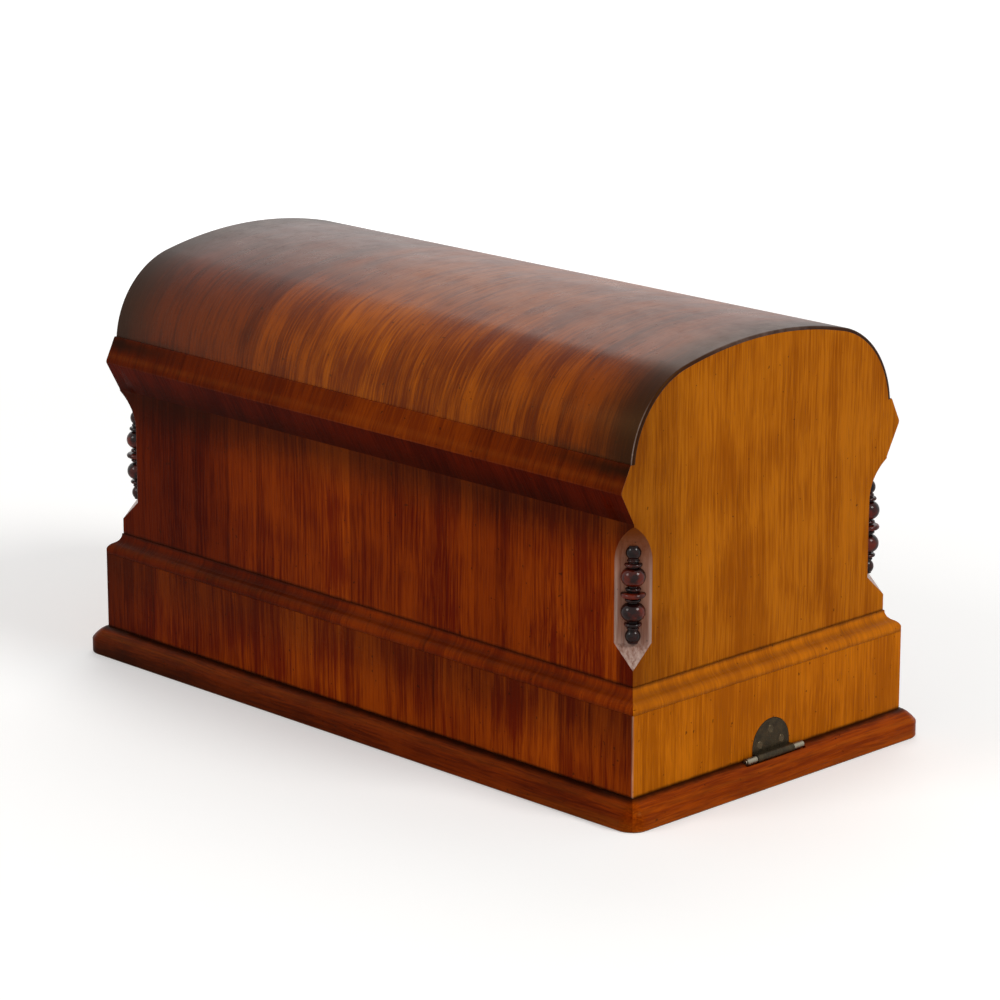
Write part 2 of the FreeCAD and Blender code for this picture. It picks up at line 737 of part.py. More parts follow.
def build():
    to_left, down = Vector(-1, 0, 0), Vector(0, 0, -1)
    hinge_screws, hinge_holes = screw_set(WOOD_SCREW, hinge_screw_places(), to_left)
    leaf_screws, leaf_holes = screw_set(SMALL_SCREW, base_leaf_screw_places(), down)
    strike_screws, strike_holes = screw_set(SMALL_SCREW, strike_screw_places(), down)
    lock_size = (SMALL_SCREW[0], SMALL_SCREW[1], LOCK_DEPTH + LOCK_SCREW_BITE)
    lock_screws, lock_holes = screw_set(lock_size, lock_screw_places(), to_left)
    pins = escutcheon_pins()
    key_cut = keyhole(-COVER_LENGTH, -INNER_X)
    chamfers = {name: chamfer_cutter(signs) for name, signs in CORNERS.items()}

    parts = {}
    rails = plinth_rails()
    hinge_plate = hinge_base_plate()
    notch_end = PIN_REACH + SWING_GAP
    swing = hinge_rod(KNUCKLE_RADIUS + SWING_GAP, -notch_end, notch_end)
    base_leaf = hinge_plate.cut(hinge_rod(PIN_RADIUS, -BAND_X, BAND_X)).cut(leaf_holes)
    strike = strike_plate(strike_holes)
    rails["right"] = rails["right"].cut([hinge_plate, swing] + leaf_holes)
    rails["left"] = rails["left"].cut([strike] + strike_holes)
    for side, rail in rails.items():
        parts[f"plinth_{side}_rail"] = rail
    for side, strip in locating_strips().items():
        parts[f"locating_strip_{side}"] = strip
    parts["hinge_base_leaf"] = base_leaf
    parts["hinge_base_screws"] = leaf_screws
    parts["hinge_pin"] = hinge_rod(PIN_RADIUS, -PIN_REACH, PIN_REACH)
    parts["strike_plate"] = strike
    parts["strike_screws"] = strike_screws

    panel = block((-INNER_X, INNER_X), (INNER_Y, SIDE_FACE), (SEAM, FLARE_FOOT))
    end = prism("yz", end_board_outline(), INNER_X, END_FACE)
    boards = {
        "front_panel": moved(panel, Vector(0, 0, 0), 180),
        "back_panel": panel,
        "left_end_board": moved(end, Vector(0, 0, 0), 180).cut([key_cut] + lock_holes + pins),
        "right_end_board": end.cut(hinge_holes),
    }
    for name, board in boards.items():
        boards[name] = board.cut(list(chamfers.values()))
    parts.update(boards)
    parts["vault_top"] = vault_top()
    eaves = eaves_moulding()
    parts["eaves_moulding_back"] = eaves
    parts["eaves_moulding_front"] = moved(eaves, Vector(0, 0, 0), 180)

    leaf_recess = prism(
        "yz", leaf_outline(LEAF_MARGIN), BAND_X - LEAF_THICKNESS, BAND_X + LEAF_THICKNESS
    )
    for side in ("front", "back", "left", "right"):
        band = wrapped(band_section(), side)
        if side == "right":
            band = band.cut([leaf_recess] + hinge_holes)
        if side == "left":
            band = band.cut([key_cut] + pins)
        parts[f"base_band_{side}"] = band
        parts[f"base_moulding_{side}"] = wrapped(moulding_section(), side)

    turning = spindle()
    for name, signs in CORNERS.items():
        fitted = moved(turning, *corner_place(signs, CHAMFER_LEG / math.sqrt(2)))
        parts[f"corner_spindle_{name}"] = fitted.cut(list(boards.values()))
        parts[f"corner_block_{name}"] = corner_block(signs)
    blocks = vault_blocks()
    parts["vault_blocks_back"] = blocks
    parts["vault_blocks_front"] = moved(blocks, Vector(0, 0, 0), 180)

    parts["hinge_cover_leaf"] = hinge_cover_leaf(hinge_holes)
    parts["hinge_cover_screws"] = hinge_screws
    parts["lock_case"] = lock_case(lock_holes)
    parts["lock_screws"] = lock_screws
    parts["lock_bolt"] = lock_bolt()
    plate = prism("yz", escutcheon_outline(), -BAND_X - ESCUTCHEON_THICKNESS, -BAND_X)
    parts["keyhole_escutcheon"] = plate.cut([key_cut] + pins)
    parts["escutcheon_pins"] = Part.Compound(pins)
    return parts


for node, shape in build().items():
    shape.exportStep(f"parts/{node}.step")
    print(f"{node}: {len(shape.Solids)} solid(s), {shape.Volume / 1000:.2f} cm3, {shape.isValid()}")
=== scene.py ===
import json
import math

import bmesh
import bpy
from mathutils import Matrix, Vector, noise

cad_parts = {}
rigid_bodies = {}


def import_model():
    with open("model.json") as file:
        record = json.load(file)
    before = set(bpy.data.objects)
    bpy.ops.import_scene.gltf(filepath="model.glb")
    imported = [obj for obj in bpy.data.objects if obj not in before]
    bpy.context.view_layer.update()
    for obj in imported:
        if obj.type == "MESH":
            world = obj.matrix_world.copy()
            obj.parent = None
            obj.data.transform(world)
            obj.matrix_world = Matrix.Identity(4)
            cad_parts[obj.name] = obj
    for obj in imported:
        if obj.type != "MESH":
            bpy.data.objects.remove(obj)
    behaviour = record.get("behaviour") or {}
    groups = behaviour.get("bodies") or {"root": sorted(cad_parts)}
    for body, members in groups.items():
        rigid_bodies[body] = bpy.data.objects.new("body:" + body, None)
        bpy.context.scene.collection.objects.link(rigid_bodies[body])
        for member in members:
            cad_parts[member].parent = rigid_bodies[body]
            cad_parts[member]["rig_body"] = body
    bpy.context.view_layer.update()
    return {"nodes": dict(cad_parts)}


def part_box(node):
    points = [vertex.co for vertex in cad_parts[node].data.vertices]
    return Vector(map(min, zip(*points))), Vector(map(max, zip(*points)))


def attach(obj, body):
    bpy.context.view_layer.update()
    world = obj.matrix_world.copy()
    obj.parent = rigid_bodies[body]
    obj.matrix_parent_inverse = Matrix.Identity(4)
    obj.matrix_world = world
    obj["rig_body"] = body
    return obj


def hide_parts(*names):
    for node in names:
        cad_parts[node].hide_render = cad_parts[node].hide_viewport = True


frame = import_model()


# Studio: a pale seamless floor under soft lamps, with the camera where the photographer
# stood, looking down at the front right corner through a long lens.
# The box's own sizes are in millimetres.
MM = 0.001
CAMERA_PLACE = Vector((1.6174, -1.5809, 0.7350))
CAMERA_AIM = Vector((0.004, 0.004, 0.1195))
CAMERA_LENS = 142.0
FLOOR_SPAN = 14.0
FLOOR_COLOUR = (0.84, 0.84, 0.835)
FLOOR_SHADED = tuple(c * 0.985 for c in FLOOR_COLOUR)
FLOOR_DRIFT = 900.0
FLOOR_LIFT = 0.25
FLOOR_NEAR = 800.0
FLOOR_FAR = 2400.0
SKY_COLOUR = (1.0, 1.0, 1.0)
SKY_SEEN = 1.0
SKY_FILL = 0.40
# Each lamp's name, place, width, watts and colour.
LAMPS = (
    ("key_softbox", (4.3, 0.9, 4.2), 2.2, 168.0, (1.0, 0.98, 0.95)),
    ("front_softbox", (-1.8, -4.8, 3.6), 2.4, 94.0, (1.0, 0.98, 0.96)),
    ("back_softbox", (-2.6, 3.4, 4.6), 3.6, 68.0, (0.99, 1.0, 1.0)),
)


class Graph:
    """Adds nodes to one tree; a socket given as a value is linked and a number is set."""

    def __init__(self, tree):
        self.tree = tree

    def feed(self, socket, value):
        if isinstance(value, bpy.types.NodeSocket):
            self.tree.links.new(value, socket)
        else:
            socket.default_value = value

    def add(self, kind, *inputs, **settings):
        node = self.tree.nodes.new(kind)
        for name, value in settings.items():
            setattr(node, name, value)
        for socket, value in zip(node.inputs, inputs):
            if value is not None:
                self.feed(socket, value)
        return node

    def sum(self, operation, *values, clamp=False):
        return self.add("ShaderNodeMath", *values, operation=operation, use_clamp=clamp).outputs[0]


class Finish(Graph):
    """One material: its node tree, with the patterns that the finishes share."""

    def __init__(self, name):
        self.material = bpy.data.materials.new(name)
        self.material.use_nodes = True
        super().__init__(self.material.node_tree)
        self.shader = self.tree.nodes["Principled BSDF"]

    def place(self, stretch=(1.0, 1.0, 1.0)):
        """Object coordinates in millimetres, each axis times its own stretch."""
        at = self.add("ShaderNodeTexCoord").outputs["Object"]
        scale = tuple(value / MM for value in stretch)
        return self.add("ShaderNodeMapping", at, None, None, scale).outputs[0]

    def cloud(self, at, grain, detail=2.0, roughness=0.5):
        """Noise whose features are about grain millimetres across."""
        node = self.add("ShaderNodeTexNoise")
        for name, value in (("Vector", at), ("Scale", 1.0 / grain), ("Detail", detail)):
            self.feed(node.inputs[name], value)
        self.feed(node.inputs["Roughness"], roughness)
        return node.outputs["Fac"]

    def fade(self, value, low, high, first=0.0, last=1.0):
        """A smooth step from first to last while the value goes from low to high."""
        node = self.add("ShaderNodeMapRange", value, low, high, first, last)
        node.interpolation_type = "SMOOTHSTEP"
        return node.outputs[0]

    def mix(self, factor, first, second, blend="MIX"):
        node = self.add("ShaderNodeMix", data_type="RGBA", blend_type=blend)
        for index, value in ((0, factor), (6, first), (7, second)):
            self.feed(node.inputs[index], (*value, 1.0) if isinstance(value, tuple) else value)
        return node.outputs[2]

    def steps(self, value, stops):
        """A ramp through (position, level) stops. Old polish reddens as it darkens, so green
        and blue fall off faster than red."""
        node = self.add("ShaderNodeValToRGB", value)
        ramp = node.color_ramp
        for index, (position, level) in enumerate(stops):
            stop = ramp.elements[index] if index < 2 else ramp.elements.new(position)
            stop.position = position
            stop.color = (level, level ** 1.5, level ** 1.5, 1.0)
        return node.outputs["Color"]

    def surface(self, colour, roughness, height=None, depth=0.0, **constants):
        self.feed(self.shader.inputs["Base Color"], colour)
        self.feed(self.shader.inputs["Roughness"], roughness)
        for name, value in constants.items():
            self.shader.inputs[name.replace("_", " ")].default_value = value
        if height is not None:
            bump = self.add("ShaderNodeBump")
            bump.inputs["Strength"].default_value = 1.0
            bump.inputs["Distance"].default_value = depth * MM
            self.feed(bump.inputs["Height"], height)
            self.feed(self.shader.inputs["Normal"], bump.outputs[0])
        return self.material


floor_finish = Finish("pale_floor")
floor_at = floor_finish.place()
floor_tone = floor_finish.cloud(floor_at, FLOOR_DRIFT)
floor_colour = floor_finish.mix(floor_tone, FLOOR_COLOUR, FLOOR_SHADED)
# Far from the box the floor glows white for the camera, so that no horizon shows.
floor_seen = floor_finish.add("ShaderNodeLightPath").outputs["Is Camera Ray"]
floor_reach = floor_finish.add("ShaderNodeVectorMath", floor_at, operation="LENGTH")
floor_lift = floor_finish.fade(floor_reach.outputs["Value"], FLOOR_NEAR, FLOOR_FAR, FLOOR_LIFT, 1.0)
floor_glow = floor_finish.sum("MULTIPLY", floor_seen, floor_lift)
floor_finish.feed(floor_finish.shader.inputs["Emission Strength"], floor_glow)
floor_finish.feed(floor_finish.shader.inputs["Emission Color"], (1.0, 1.0, 1.0, 1.0))
floor_mesh = bpy.data.meshes.new("studio_floor")
floor_corners = [(x * FLOOR_SPAN / 2, y * FLOOR_SPAN / 2, 0)
                 for x, y in ((-1, -1), (1, -1), (1, 1), (-1, 1))]
floor_mesh.from_pydata(floor_corners, [], [(0, 1, 2, 3)])
floor_mesh.materials.append(floor_finish.surface(floor_colour, 0.9, Specular_IOR_Level=0.1))
floor = bpy.data.objects.new("studio_floor", floor_mesh)
bpy.context.scene.collection.objects.link(floor)

world = bpy.data.worlds.new("studio_air")
world.use_nodes = True
bpy.context.scene.world = world
air = Graph(world.node_tree)
rays = air.add("ShaderNodeLightPath").outputs
sky_seen = air.sum("MAXIMUM", rays["Is Camera Ray"], rays["Is Glossy Ray"])
sky_seen = air.sum("MAXIMUM", sky_seen, rays["Is Transmission Ray"])
sky_level = air.add("ShaderNodeMapRange", sky_seen, 0.0, 1.0, SKY_FILL, SKY_SEEN).outputs[0]
background = world.node_tree.nodes["Background"]
air.feed(background.inputs["Color"], (*SKY_COLOUR, 1.0))
air.feed(background.inputs["Strength"], sky_level)

for name, place, size, watts, colour in LAMPS:
    lamp = bpy.data.lights.new(name, "AREA")
    lamp.shape = "DISK"
    lamp.size = size
    lamp.energy = watts
    lamp.color = colour
    stand = bpy.data.objects.new(name, lamp)
    stand.location = place
    stand.rotation_euler = (CAMERA_AIM - Vector(place)).to_track_quat("-Z", "Y").to_euler()
    bpy.context.scene.collection.objects.link(stand)

camera_data = bpy.data.cameras.new("camera")
camera_data.lens = CAMERA_LENS
camera = bpy.data.objects.new("camera", camera_data)
camera.location = CAMERA_PLACE
camera.rotation_euler = (CAMERA_AIM - CAMERA_PLACE).to_track_quat("-Z", "Y").to_euler()
bpy.context.scene.collection.objects.link(camera)
bpy.context.scene.camera = camera
bpy.context.scene.view_settings.view_transform = "Standard"


# Plinth: four mitred rails of French-polished walnut that stand round the machine's bed.
# Their moulded edge has been knocked and rubbed paler along the nose, where a highlight is
# also painted. Painted shadow lines the seam under the cover, and on the long rails painted
# shade darkens the foot towards the left end and a painted highlight lifts it towards the right.
PLINTH_TOP = 16.5
NOSE_LEVEL = 9.6
MITRE_SHIFT = 112.5
END_JOINT = 207.0
WALL_Y = 104.5
FLARE_FOOT = 167.5
JOINT_SLACK = 0.02
# How far each axis is drawn together to run the grain along the box, across it or round it.
ALONG_X = (0.05, 1.0, 1.0)
ALONG_Y = (1.0, 0.05, 1.0)
ROUND_X = (1.0, 0.05, 0.05)
ROUND_Y = (0.05, 1.0, 0.05)
# Edges sharper than this are rounded, dented at a pitch and shaded apart.
SHARP_ANGLE = math.radians(32)
FLAT_ANGLE = math.radians(0.2)
ARRIS_STEPS = 4
KNOCK_PITCH = 4.5
BROAD_DENT = 7.0
SMALL_DENT = 2.5
LEAST_LIKENESS = 0.6
# Sizes of what shows in the veneer, across the grain, and the tones where each comes and goes.
GRAIN_WANDER = 90.0
GRAIN_SWAY = 6.0
BAND_SIZE = 15.0
STREAK_SIZE = 1.5
PORE_SIZE = 0.6
MOTTLE_SIZE = 42.0
DARKENING_SIZE = 8.0
DARKENING_RAGGED = 0.6
DARKENING_MOST_RAGGED = 12.0
SPECK_SIZE = 3.1
PATCH_SIZE = 2.6
SHEEN_SIZE = 22.0
TONES = (0.36, 0.64)
PORES = (0.55, 0.72)
SPECKS = (0.745, 0.77)
PATCHES = (0.22, 0.70)
GRAIN_DEPTH = 0.04
RAIL_PALE = (0.19, 0.023, 0.0006)
RAIL_DEEP = (0.083, 0.0075, 0.0003)
PLINTH_PALE = (0.32, 0.050, 0.001)
PLINTH_DEEP = (0.16, 0.019, 0.0006)
# Bare wood where the polish is worn through, also a painted highlight along the plinth's nose.
BARE_WOOD_AND_HIGHLIGHT = (0.56, 0.17, 0.012)
# Near black for old grime, and for painted shade and shadow.
GRIME_AND_SHADE = (0.012, 0.003, 0.001)
SPECK_COLOUR = (0.02, 0.006, 0.002)
AMBER = (1.0, 0.5, 0.12, 1.0)
WHITE = (1.0, 1.0, 1.0, 1.0)


def walnut(name, stretch, pale, deep, bare_and_highlight=BARE_WOOD_AND_HIGHLIGHT, polish=0.24, gloss=0.03, tint=AMBER,
           leaves_and_shade=(), soot_and_shade=(), pale_marks=(), pale_strength=0.8, figure=0.35, darkened_to=GRIME_AND_SHADE, patches=None):
    """Polished walnut, its grain drawn out along the stretch's smallest axis. The leaf tables
    are the (start, tone there, tone at its end) of the veneer along the box, and the last
    start ends them; some of them also carry painted shade that darkens the box towards its
    left end. The darkening marks are (strength, limits) of where old wax has gathered dirty
    and of painted shade and shadow, and the pale marks of where hands have worn the polish
    and of painted highlights and reflections, each limit an (axis, place, reach), with the
    axis between bars where it holds on both sides of the middle. Patches is the stretch of
    the worn patches, where they don't follow the grain."""
    wood = Finish(name)
    plain = wood.place()
    wander = wood.add("ShaderNodeTexNoise")
    wood.feed(wander.inputs["Vector"], plain)
    wander.inputs["Scale"].default_value = 1 / GRAIN_WANDER
    sway = wood.add("ShaderNodeVectorMath", wander.outputs["Color"], (GRAIN_SWAY,) * 3,
                    operation="MULTIPLY")
    bent = wood.add("ShaderNodeVectorMath", plain, sway.outputs[0], operation="ADD").outputs[0]
    grained = wood.add("ShaderNodeMapping", bent, None, None, stretch).outputs[0]
    bands = wood.cloud(grained, BAND_SIZE, 3.0, 0.5)
    streaks = wood.cloud(grained, STREAK_SIZE, 3.0, 0.7)
    fine = wood.cloud(grained, PORE_SIZE, 2.0, 0.6)
    mottle = wood.cloud(plain, MOTTLE_SIZE, 2.0, 0.5)
    tone = wood.sum("MULTIPLY_ADD", bands, 0.4, wood.sum("MULTIPLY", streaks, 0.6))
    tone = wood.sum("MULTIPLY_ADD", wood.sum("SUBTRACT", mottle, 0.5), figure, tone)
    colour = wood.mix(wood.fade(tone, *TONES), deep, pale)
    pores = wood.fade(fine, *PORES)
    colour = wood.mix(wood.sum("MULTIPLY", pores, 0.4), colour, tuple(c * 0.4 for c in deep))
    split = wood.add("ShaderNodeSeparateXYZ", plain).outputs

    def near(limits, ragged=0.0):
        """One where all the limits hold, fading to nothing at their reach."""
        here = 1.0
        for along, place, reach in limits:
            value = split[along.strip("|")]
            value = wood.sum("ABSOLUTE", value) if "|" in along else value
            away = wood.sum("ABSOLUTE", wood.sum("SUBTRACT", value, place))
            if ragged:
                spread = ragged * min(reach, DARKENING_MOST_RAGGED)
                away = wood.sum("SUBTRACT", away, spread / 2)
                away = wood.sum("MULTIPLY_ADD", wood.cloud(plain, DARKENING_SIZE, 3.0), spread, away)
            here = wood.sum("MULTIPLY", wood.fade(away, reach, 0.0), here)
        return here

    if leaves_and_shade:
        low, high = leaves_and_shade[0][0], leaves_and_shade[-1][0]
        along = wood.fade(split["X"], low, high)
        along.node.interpolation_type = "LINEAR"
        thin = 0.5 / (high - low)
        stops = []
        for (start, first, last), (end, *_) in zip(leaves_and_shade, leaves_and_shade[1:]):
            stops.append(((start - low) / (high - low) + thin, first))
            stops.append(((end - low) / (high - low) - thin, last))
        colour = wood.mix(1.0, colour, wood.steps(along, stops), "MULTIPLY")
        lines = [(0.0, 1.0)]
        for start, first, last in leaves_and_shade[1:-1]:
            place = (start - low) / (high - low)
            lines += [(place - 2 * thin, 1.0), (place, 0.5), (place + 2 * thin, 1.0)]
        colour = wood.mix(1.0, colour, wood.steps(along, lines), "MULTIPLY")
    dirt_and_shade = 0.0
    for strength, limits in soot_and_shade:
        dirt_and_shade = wood.sum("MAXIMUM", dirt_and_shade, wood.sum("MULTIPLY", near(limits, DARKENING_RAGGED), strength))
    colour = wood.mix(dirt_and_shade, colour, darkened_to)
    specks = wood.fade(wood.cloud(plain, SPECK_SIZE, 1.0), *SPECKS)
    colour = wood.mix(wood.sum("MULTIPLY", specks, 0.6), colour, SPECK_COLOUR)
    # Pale on the worn arris strips; on some finishes that pale line is also a painted highlight.
    paled = wood.add("ShaderNodeAttribute", attribute_name="worn").outputs["Fac"]
    for strength, limits in pale_marks:
        paled = wood.sum("MAXIMUM", paled, wood.sum("MULTIPLY", near(limits), strength))
    spots = wood.cloud(wood.place(patches) if patches else grained, PATCH_SIZE, 4.0, 0.75)
    patchy = wood.fade(spots, *PATCHES)
    paled = wood.sum("MULTIPLY", paled, wood.sum("MULTIPLY", patchy, pale_strength))
    colour = wood.mix(paled, colour, bare_and_highlight)
    sheen = wood.cloud(plain, SHEEN_SIZE, 3.0, 0.6)
    dull = wood.sum("MULTIPLY_ADD", sheen, 0.14, polish - 0.07)
    dull = wood.sum("MULTIPLY_ADD", wood.sum("ADD", pores, dirt_and_shade), 0.10, dull)
    height = wood.sum("MULTIPLY", streaks, 0.35)
    height = wood.sum("SUBTRACT", height, wood.sum("MULTIPLY", pores, 0.6))
    return wood.surface(colour, dull, height, GRAIN_DEPTH, Specular_IOR_Level=gloss,
                        Specular_Tint=tint)


def stand_for(name, mesh):
    """Makes the finished mesh a piece that rides with the solids that it stands for."""
    mesh.set_sharp_from_angle(angle=SHARP_ANGLE)
    piece = bpy.data.objects.new(name, mesh)
    bpy.context.scene.collection.objects.link(piece)
    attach(piece, frame["nodes"][name]["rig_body"])
    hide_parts(name)
    return piece


def glued(edge):
    """True if the edge lies in a mitre, in the joint between a panel and an end board, or at
    the foot of the eaves."""
    ends = [[abs(value) / MM for value in vertex.co] for vertex in edge.verts]
    mitre = [x - y - MITRE_SHIFT for x, y, z in ends]
    joint = [x - END_JOINT for x, y, z in ends]
    foot = [abs(y - WALL_Y) + abs(z - FLARE_FOOT) for x, y, z in ends]
    return any(all(abs(gap) < JOINT_SLACK for gap in gaps) for gaps in (mitre, joint, foot))


def eased(name, faces, width, cuts="", knock=0.0):
    """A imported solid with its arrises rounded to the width. Cuts names the axes along which
    they are divided so that knocks can dent them. Faces are (direction, finish) pairs, some
    with the level that they start at, and the last is for what faces none of the others."""
    shape = bmesh.new()
    shape.from_mesh(frame["nodes"][name].data)
    bmesh.ops.remove_doubles(shape, verts=shape.verts, dist=2e-6)
    bmesh.ops.dissolve_limit(shape, angle_limit=FLAT_ANGLE, verts=shape.verts, edges=shape.edges)
    low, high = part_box(name)
    for axis in cuts:
        index = "XYZ".index(axis)
        square = Vector([float(i == index) for i in range(3)])
        count = max(2, round((high[index] - low[index]) / (KNOCK_PITCH * MM)))
        for cut in range(1, count):
            at = square * (low[index] + (high[index] - low[index]) * cut / count)
            everything = shape.verts[:] + shape.edges[:] + shape.faces[:]
            bmesh.ops.bisect_plane(shape, geom=everything, dist=1e-7, plane_co=at, plane_no=square)
    arrises = [e for e in shape.edges if len(e.link_faces) == 2 and e.is_convex
               and e.calc_face_angle() > SHARP_ANGLE and not glued(e)]
    rounded = bmesh.ops.bevel(shape, geom=arrises, offset=width * MM, offset_type="OFFSET",
                              segments=ARRIS_STEPS, profile=0.5, affect="EDGES",
                              clamp_overlap=True, loop_slide=True)
    strip = set(rounded["faces"])
    # The inner rows of the rounded strips are marked worn; the finishes pale them there as wear
    # and, on some, as a painted highlight.
    worn = shape.verts.layers.float.new("worn")
    inner = [v for v in rounded["verts"] if v.is_valid and all(f in strip for f in v.link_faces)]
    shape.normal_update()
    for vertex in inner:
        vertex[worn] = 1.0
        broad = max(0.0, noise.noise(vertex.co / (BROAD_DENT * MM)) - 0.1)
        small = max(0.0, noise.noise(vertex.co / (SMALL_DENT * MM)) - 0.3)
        vertex.co -= vertex.normal * (broad + small) * knock * MM
    for face in shape.faces:
        face.smooth = True
        level = face.calc_center_median().z / MM
        likeness = [face.normal.dot(Vector(way).normalized())
                    if all(level > start for start in starts) else -1.0
                    for way, finish, *starts in faces[:-1]]
        likeness.append(LEAST_LIKENESS)
        face.material_index = likeness.index(max(likeness))
    mesh = bpy.data.meshes.new(name)
    shape.to_mesh(mesh)
    shape.free()
    for way, finish, *starts in faces:
        mesh.materials.append(finish)
    piece = stand_for(name, mesh)
    even = piece.modifiers.new("even_shading", "WEIGHTED_NORMAL")
    even.keep_sharp = True


LONG_SIDES = ("front", "back")
ENDS = ("left", "right")
OUT = {"front": (0, -1, 0), "back": (0, 1, 0), "left": (-1, 0, 0), "right": (1, 0, 0)}
RUN = {"front": "X", "back": "X", "left": "Y", "right": "Y"}
DOWN = (0, 0, -1)

# Painted shadow along the seam under the cover, and on the long rails painted shade that darkens
# the foot towards the left end.
rail_side_painted_shade = ((0.95, (("Z", PLINTH_TOP, 2.6),)),
                  (0.85, (("Z", 0.0, 20.0), ("X", -235.0, 430.0))))
# Wear along the nose, and a painted highlight on the long rails' foot towards the right end.
rail_side_wear_and_highlight = ((0.2, (("Z", 13.2, 2.6),)), (0.42, (("Z", 3.0, 6.0), ("X", 235.0, 150.0))))
# Painted shadow along the seam under the cover.
rail_end_painted_shadow = ((0.9, (("Z", PLINTH_TOP, 2.2),)),)
# Paler along the nose and towards the foot.
rail_end_paling = ((0.3, (("Z", NOSE_LEVEL + 1.5, 2.0),)), (0.25, (("Z", 2.0, 6.0),)))
side_rail = walnut("plinth_walnut_side", ALONG_X, RAIL_PALE, RAIL_DEEP, soot_and_shade=rail_side_painted_shade,
                   pale_marks=rail_side_wear_and_highlight, pale_strength=0.4, gloss=0.04)
end_rail = walnut("plinth_walnut_end", ALONG_Y, PLINTH_PALE, PLINTH_DEEP, soot_and_shade=rail_end_painted_shadow,
                  pale_marks=rail_end_paling, pale_strength=0.5, gloss=0.05)
raw_rail = walnut("plinth_underside", ALONG_X, (0.30, 0.19, 0.10), (0.17, 0.10, 0.05),
                  polish=0.75, gloss=0.1)
for side in OUT:
    faces = [(DOWN, raw_rail), (None, side_rail if side in LONG_SIDES else end_rail)]
    eased(f"plinth_{side}_rail", faces, 0.6, RUN[side], 0.5)


# Locating strips: chamfered slips glued to the plinth just inside the cover's walls, so
# that it drops into place. Stained, never polished.
strip_finish = walnut("strip_walnut", ALONG_X, (0.16, 0.06, 0.02), (0.06, 0.02, 0.008),
                      polish=0.6, gloss=0.1)
for side in OUT:
    eased(f"locating_strip_{side}", [(None, strip_finish)], 0.3, RUN[side], 0.3)


# Walls: two long panels between two end boards, veneered outside with upright grain. The
# long sides are dark leaves laid edge to edge, the ends one golden leaf. Painted shade darkens
# the front's leaves towards the left end, lies under the eaves and gathers with the dirt in the
# joint over the cyma. The chamfers carry a painted reflection of the lamps. Inside, the plain
# boards show.
SIDE_PALE = (0.255, 0.035, 0.0006)
SIDE_DEEP = (0.10, 0.0052, 0.0002)
END_PALE = (0.45, 0.132, 0.004)
END_DEEP = (0.27, 0.064, 0.001)
# A pale line where arrises are worn, on some finishes also a painted highlight.
PALE_LINE = (0.80, 0.52, 0.38)
UPRIGHT = (1.0, 1.0, 0.03)
CHAMFER_LOW = 85.5
CHAMFER_HIGH = 166.5
EAVES_NOSE = 186.5
SPRING = 201.0
MOULDING_TOP = 76.0
# The front's leaf tones also fall off towards the left end as painted shade.
FRONT_LEAVES_AND_SHADE = (
    (-218, 0.42, 0.44), (-147, 0.48, 0.62), (-117, 0.76, 0.92), (-90, 0.88, 1.0),
    (-35, 1.2, 1.24), (-9, 0.86, 0.96), (71, 1.12, 0.78), (113, 0.8, 1.3),
    (169.5, 1.2, 1.3), (206.5, 0.8, 0.8), (218, 1, 1))
BACK_LEAVES = (
    (-218, 0.7, 0.7), (-206.5, 1.1, 0.9), (-152, 0.8, 0.9), (-96, 1.15, 1.05),
    (-31, 0.85, 0.95), (38, 1.1, 1.2), (104, 0.8, 0.75), (160, 1.0, 0.9),
    (206.5, 0.75, 0.75), (218, 1, 1))
# How steeply the chamfers' stops and the two faces of the eaves look up or down.
STOP_SLOPE = 0.8
EAVES_SLOPE = 0.75
# Painted shade under the eaves, strongest at the flare's foot, and dirt with painted shade along
# the joint over the cyma.
wall_dirt_and_shade = ((0.65, (("Z", FLARE_FOOT, 32.0),)), (0.7, (("Z", MOULDING_TOP, 2.0),)))
side_veneer = {
    side: walnut(f"side_walnut_{side}", UPRIGHT, SIDE_PALE, SIDE_DEEP, leaves_and_shade=leaves_and_shade,
                 soot_and_shade=wall_dirt_and_shade)
    for side, leaves_and_shade in (("front", FRONT_LEAVES_AND_SHADE), ("back", BACK_LEAVES))
}
# Dirt and painted shade along the joint over the cyma, and darker towards the front edge.
end_darkening = ((0.6, (("Z", MOULDING_TOP, 1.6),)), (0.3, (("Y", -106.0, 66.0),)))
# The end boards' rounded arrises take a pale line, worn and with a painted highlight.
end_veneer = walnut("end_walnut_veneer", UPRIGHT, END_PALE, END_DEEP, soot_and_shade=end_darkening,
                    bare_and_highlight=PALE_LINE, pale_strength=1.0)
CHAMFER_LEG = 14.5
END_FACE = 217.0
# The chamfers' pale grey-pink is a painted reflection of the lamps; towards the top it turns back
# to brown wood, and painted highlights run along their edges and over the low point.
chamfer_sheen_end = ((1.0, (("Z", CHAMFER_HIGH, 34.0),)),)
chamfer_highlights = ((0.8, (("Z", CHAMFER_LOW, 26.0),)),
               *[(0.8, (("|X|", END_FACE - inset, 1.3), ("Z", 112.0, 44.0)))
                 for inset in (0.5, CHAMFER_LEG - 0.5)])
chamfer_polish = walnut("chamfer_polish", UPRIGHT, (0.30, 0.140, 0.092), (0.165, 0.064, 0.040),
                        bare_and_highlight=(0.68, 0.53, 0.46), gloss=0.07, tint=WHITE, soot_and_shade=chamfer_sheen_end,
                        pale_marks=chamfer_highlights, figure=0.6, darkened_to=(0.15, 0.032, 0.003))
carcase = walnut("carcase_boards", ALONG_X, (0.33, 0.19, 0.085), (0.20, 0.10, 0.04), polish=0.7,
                 gloss=0.1)
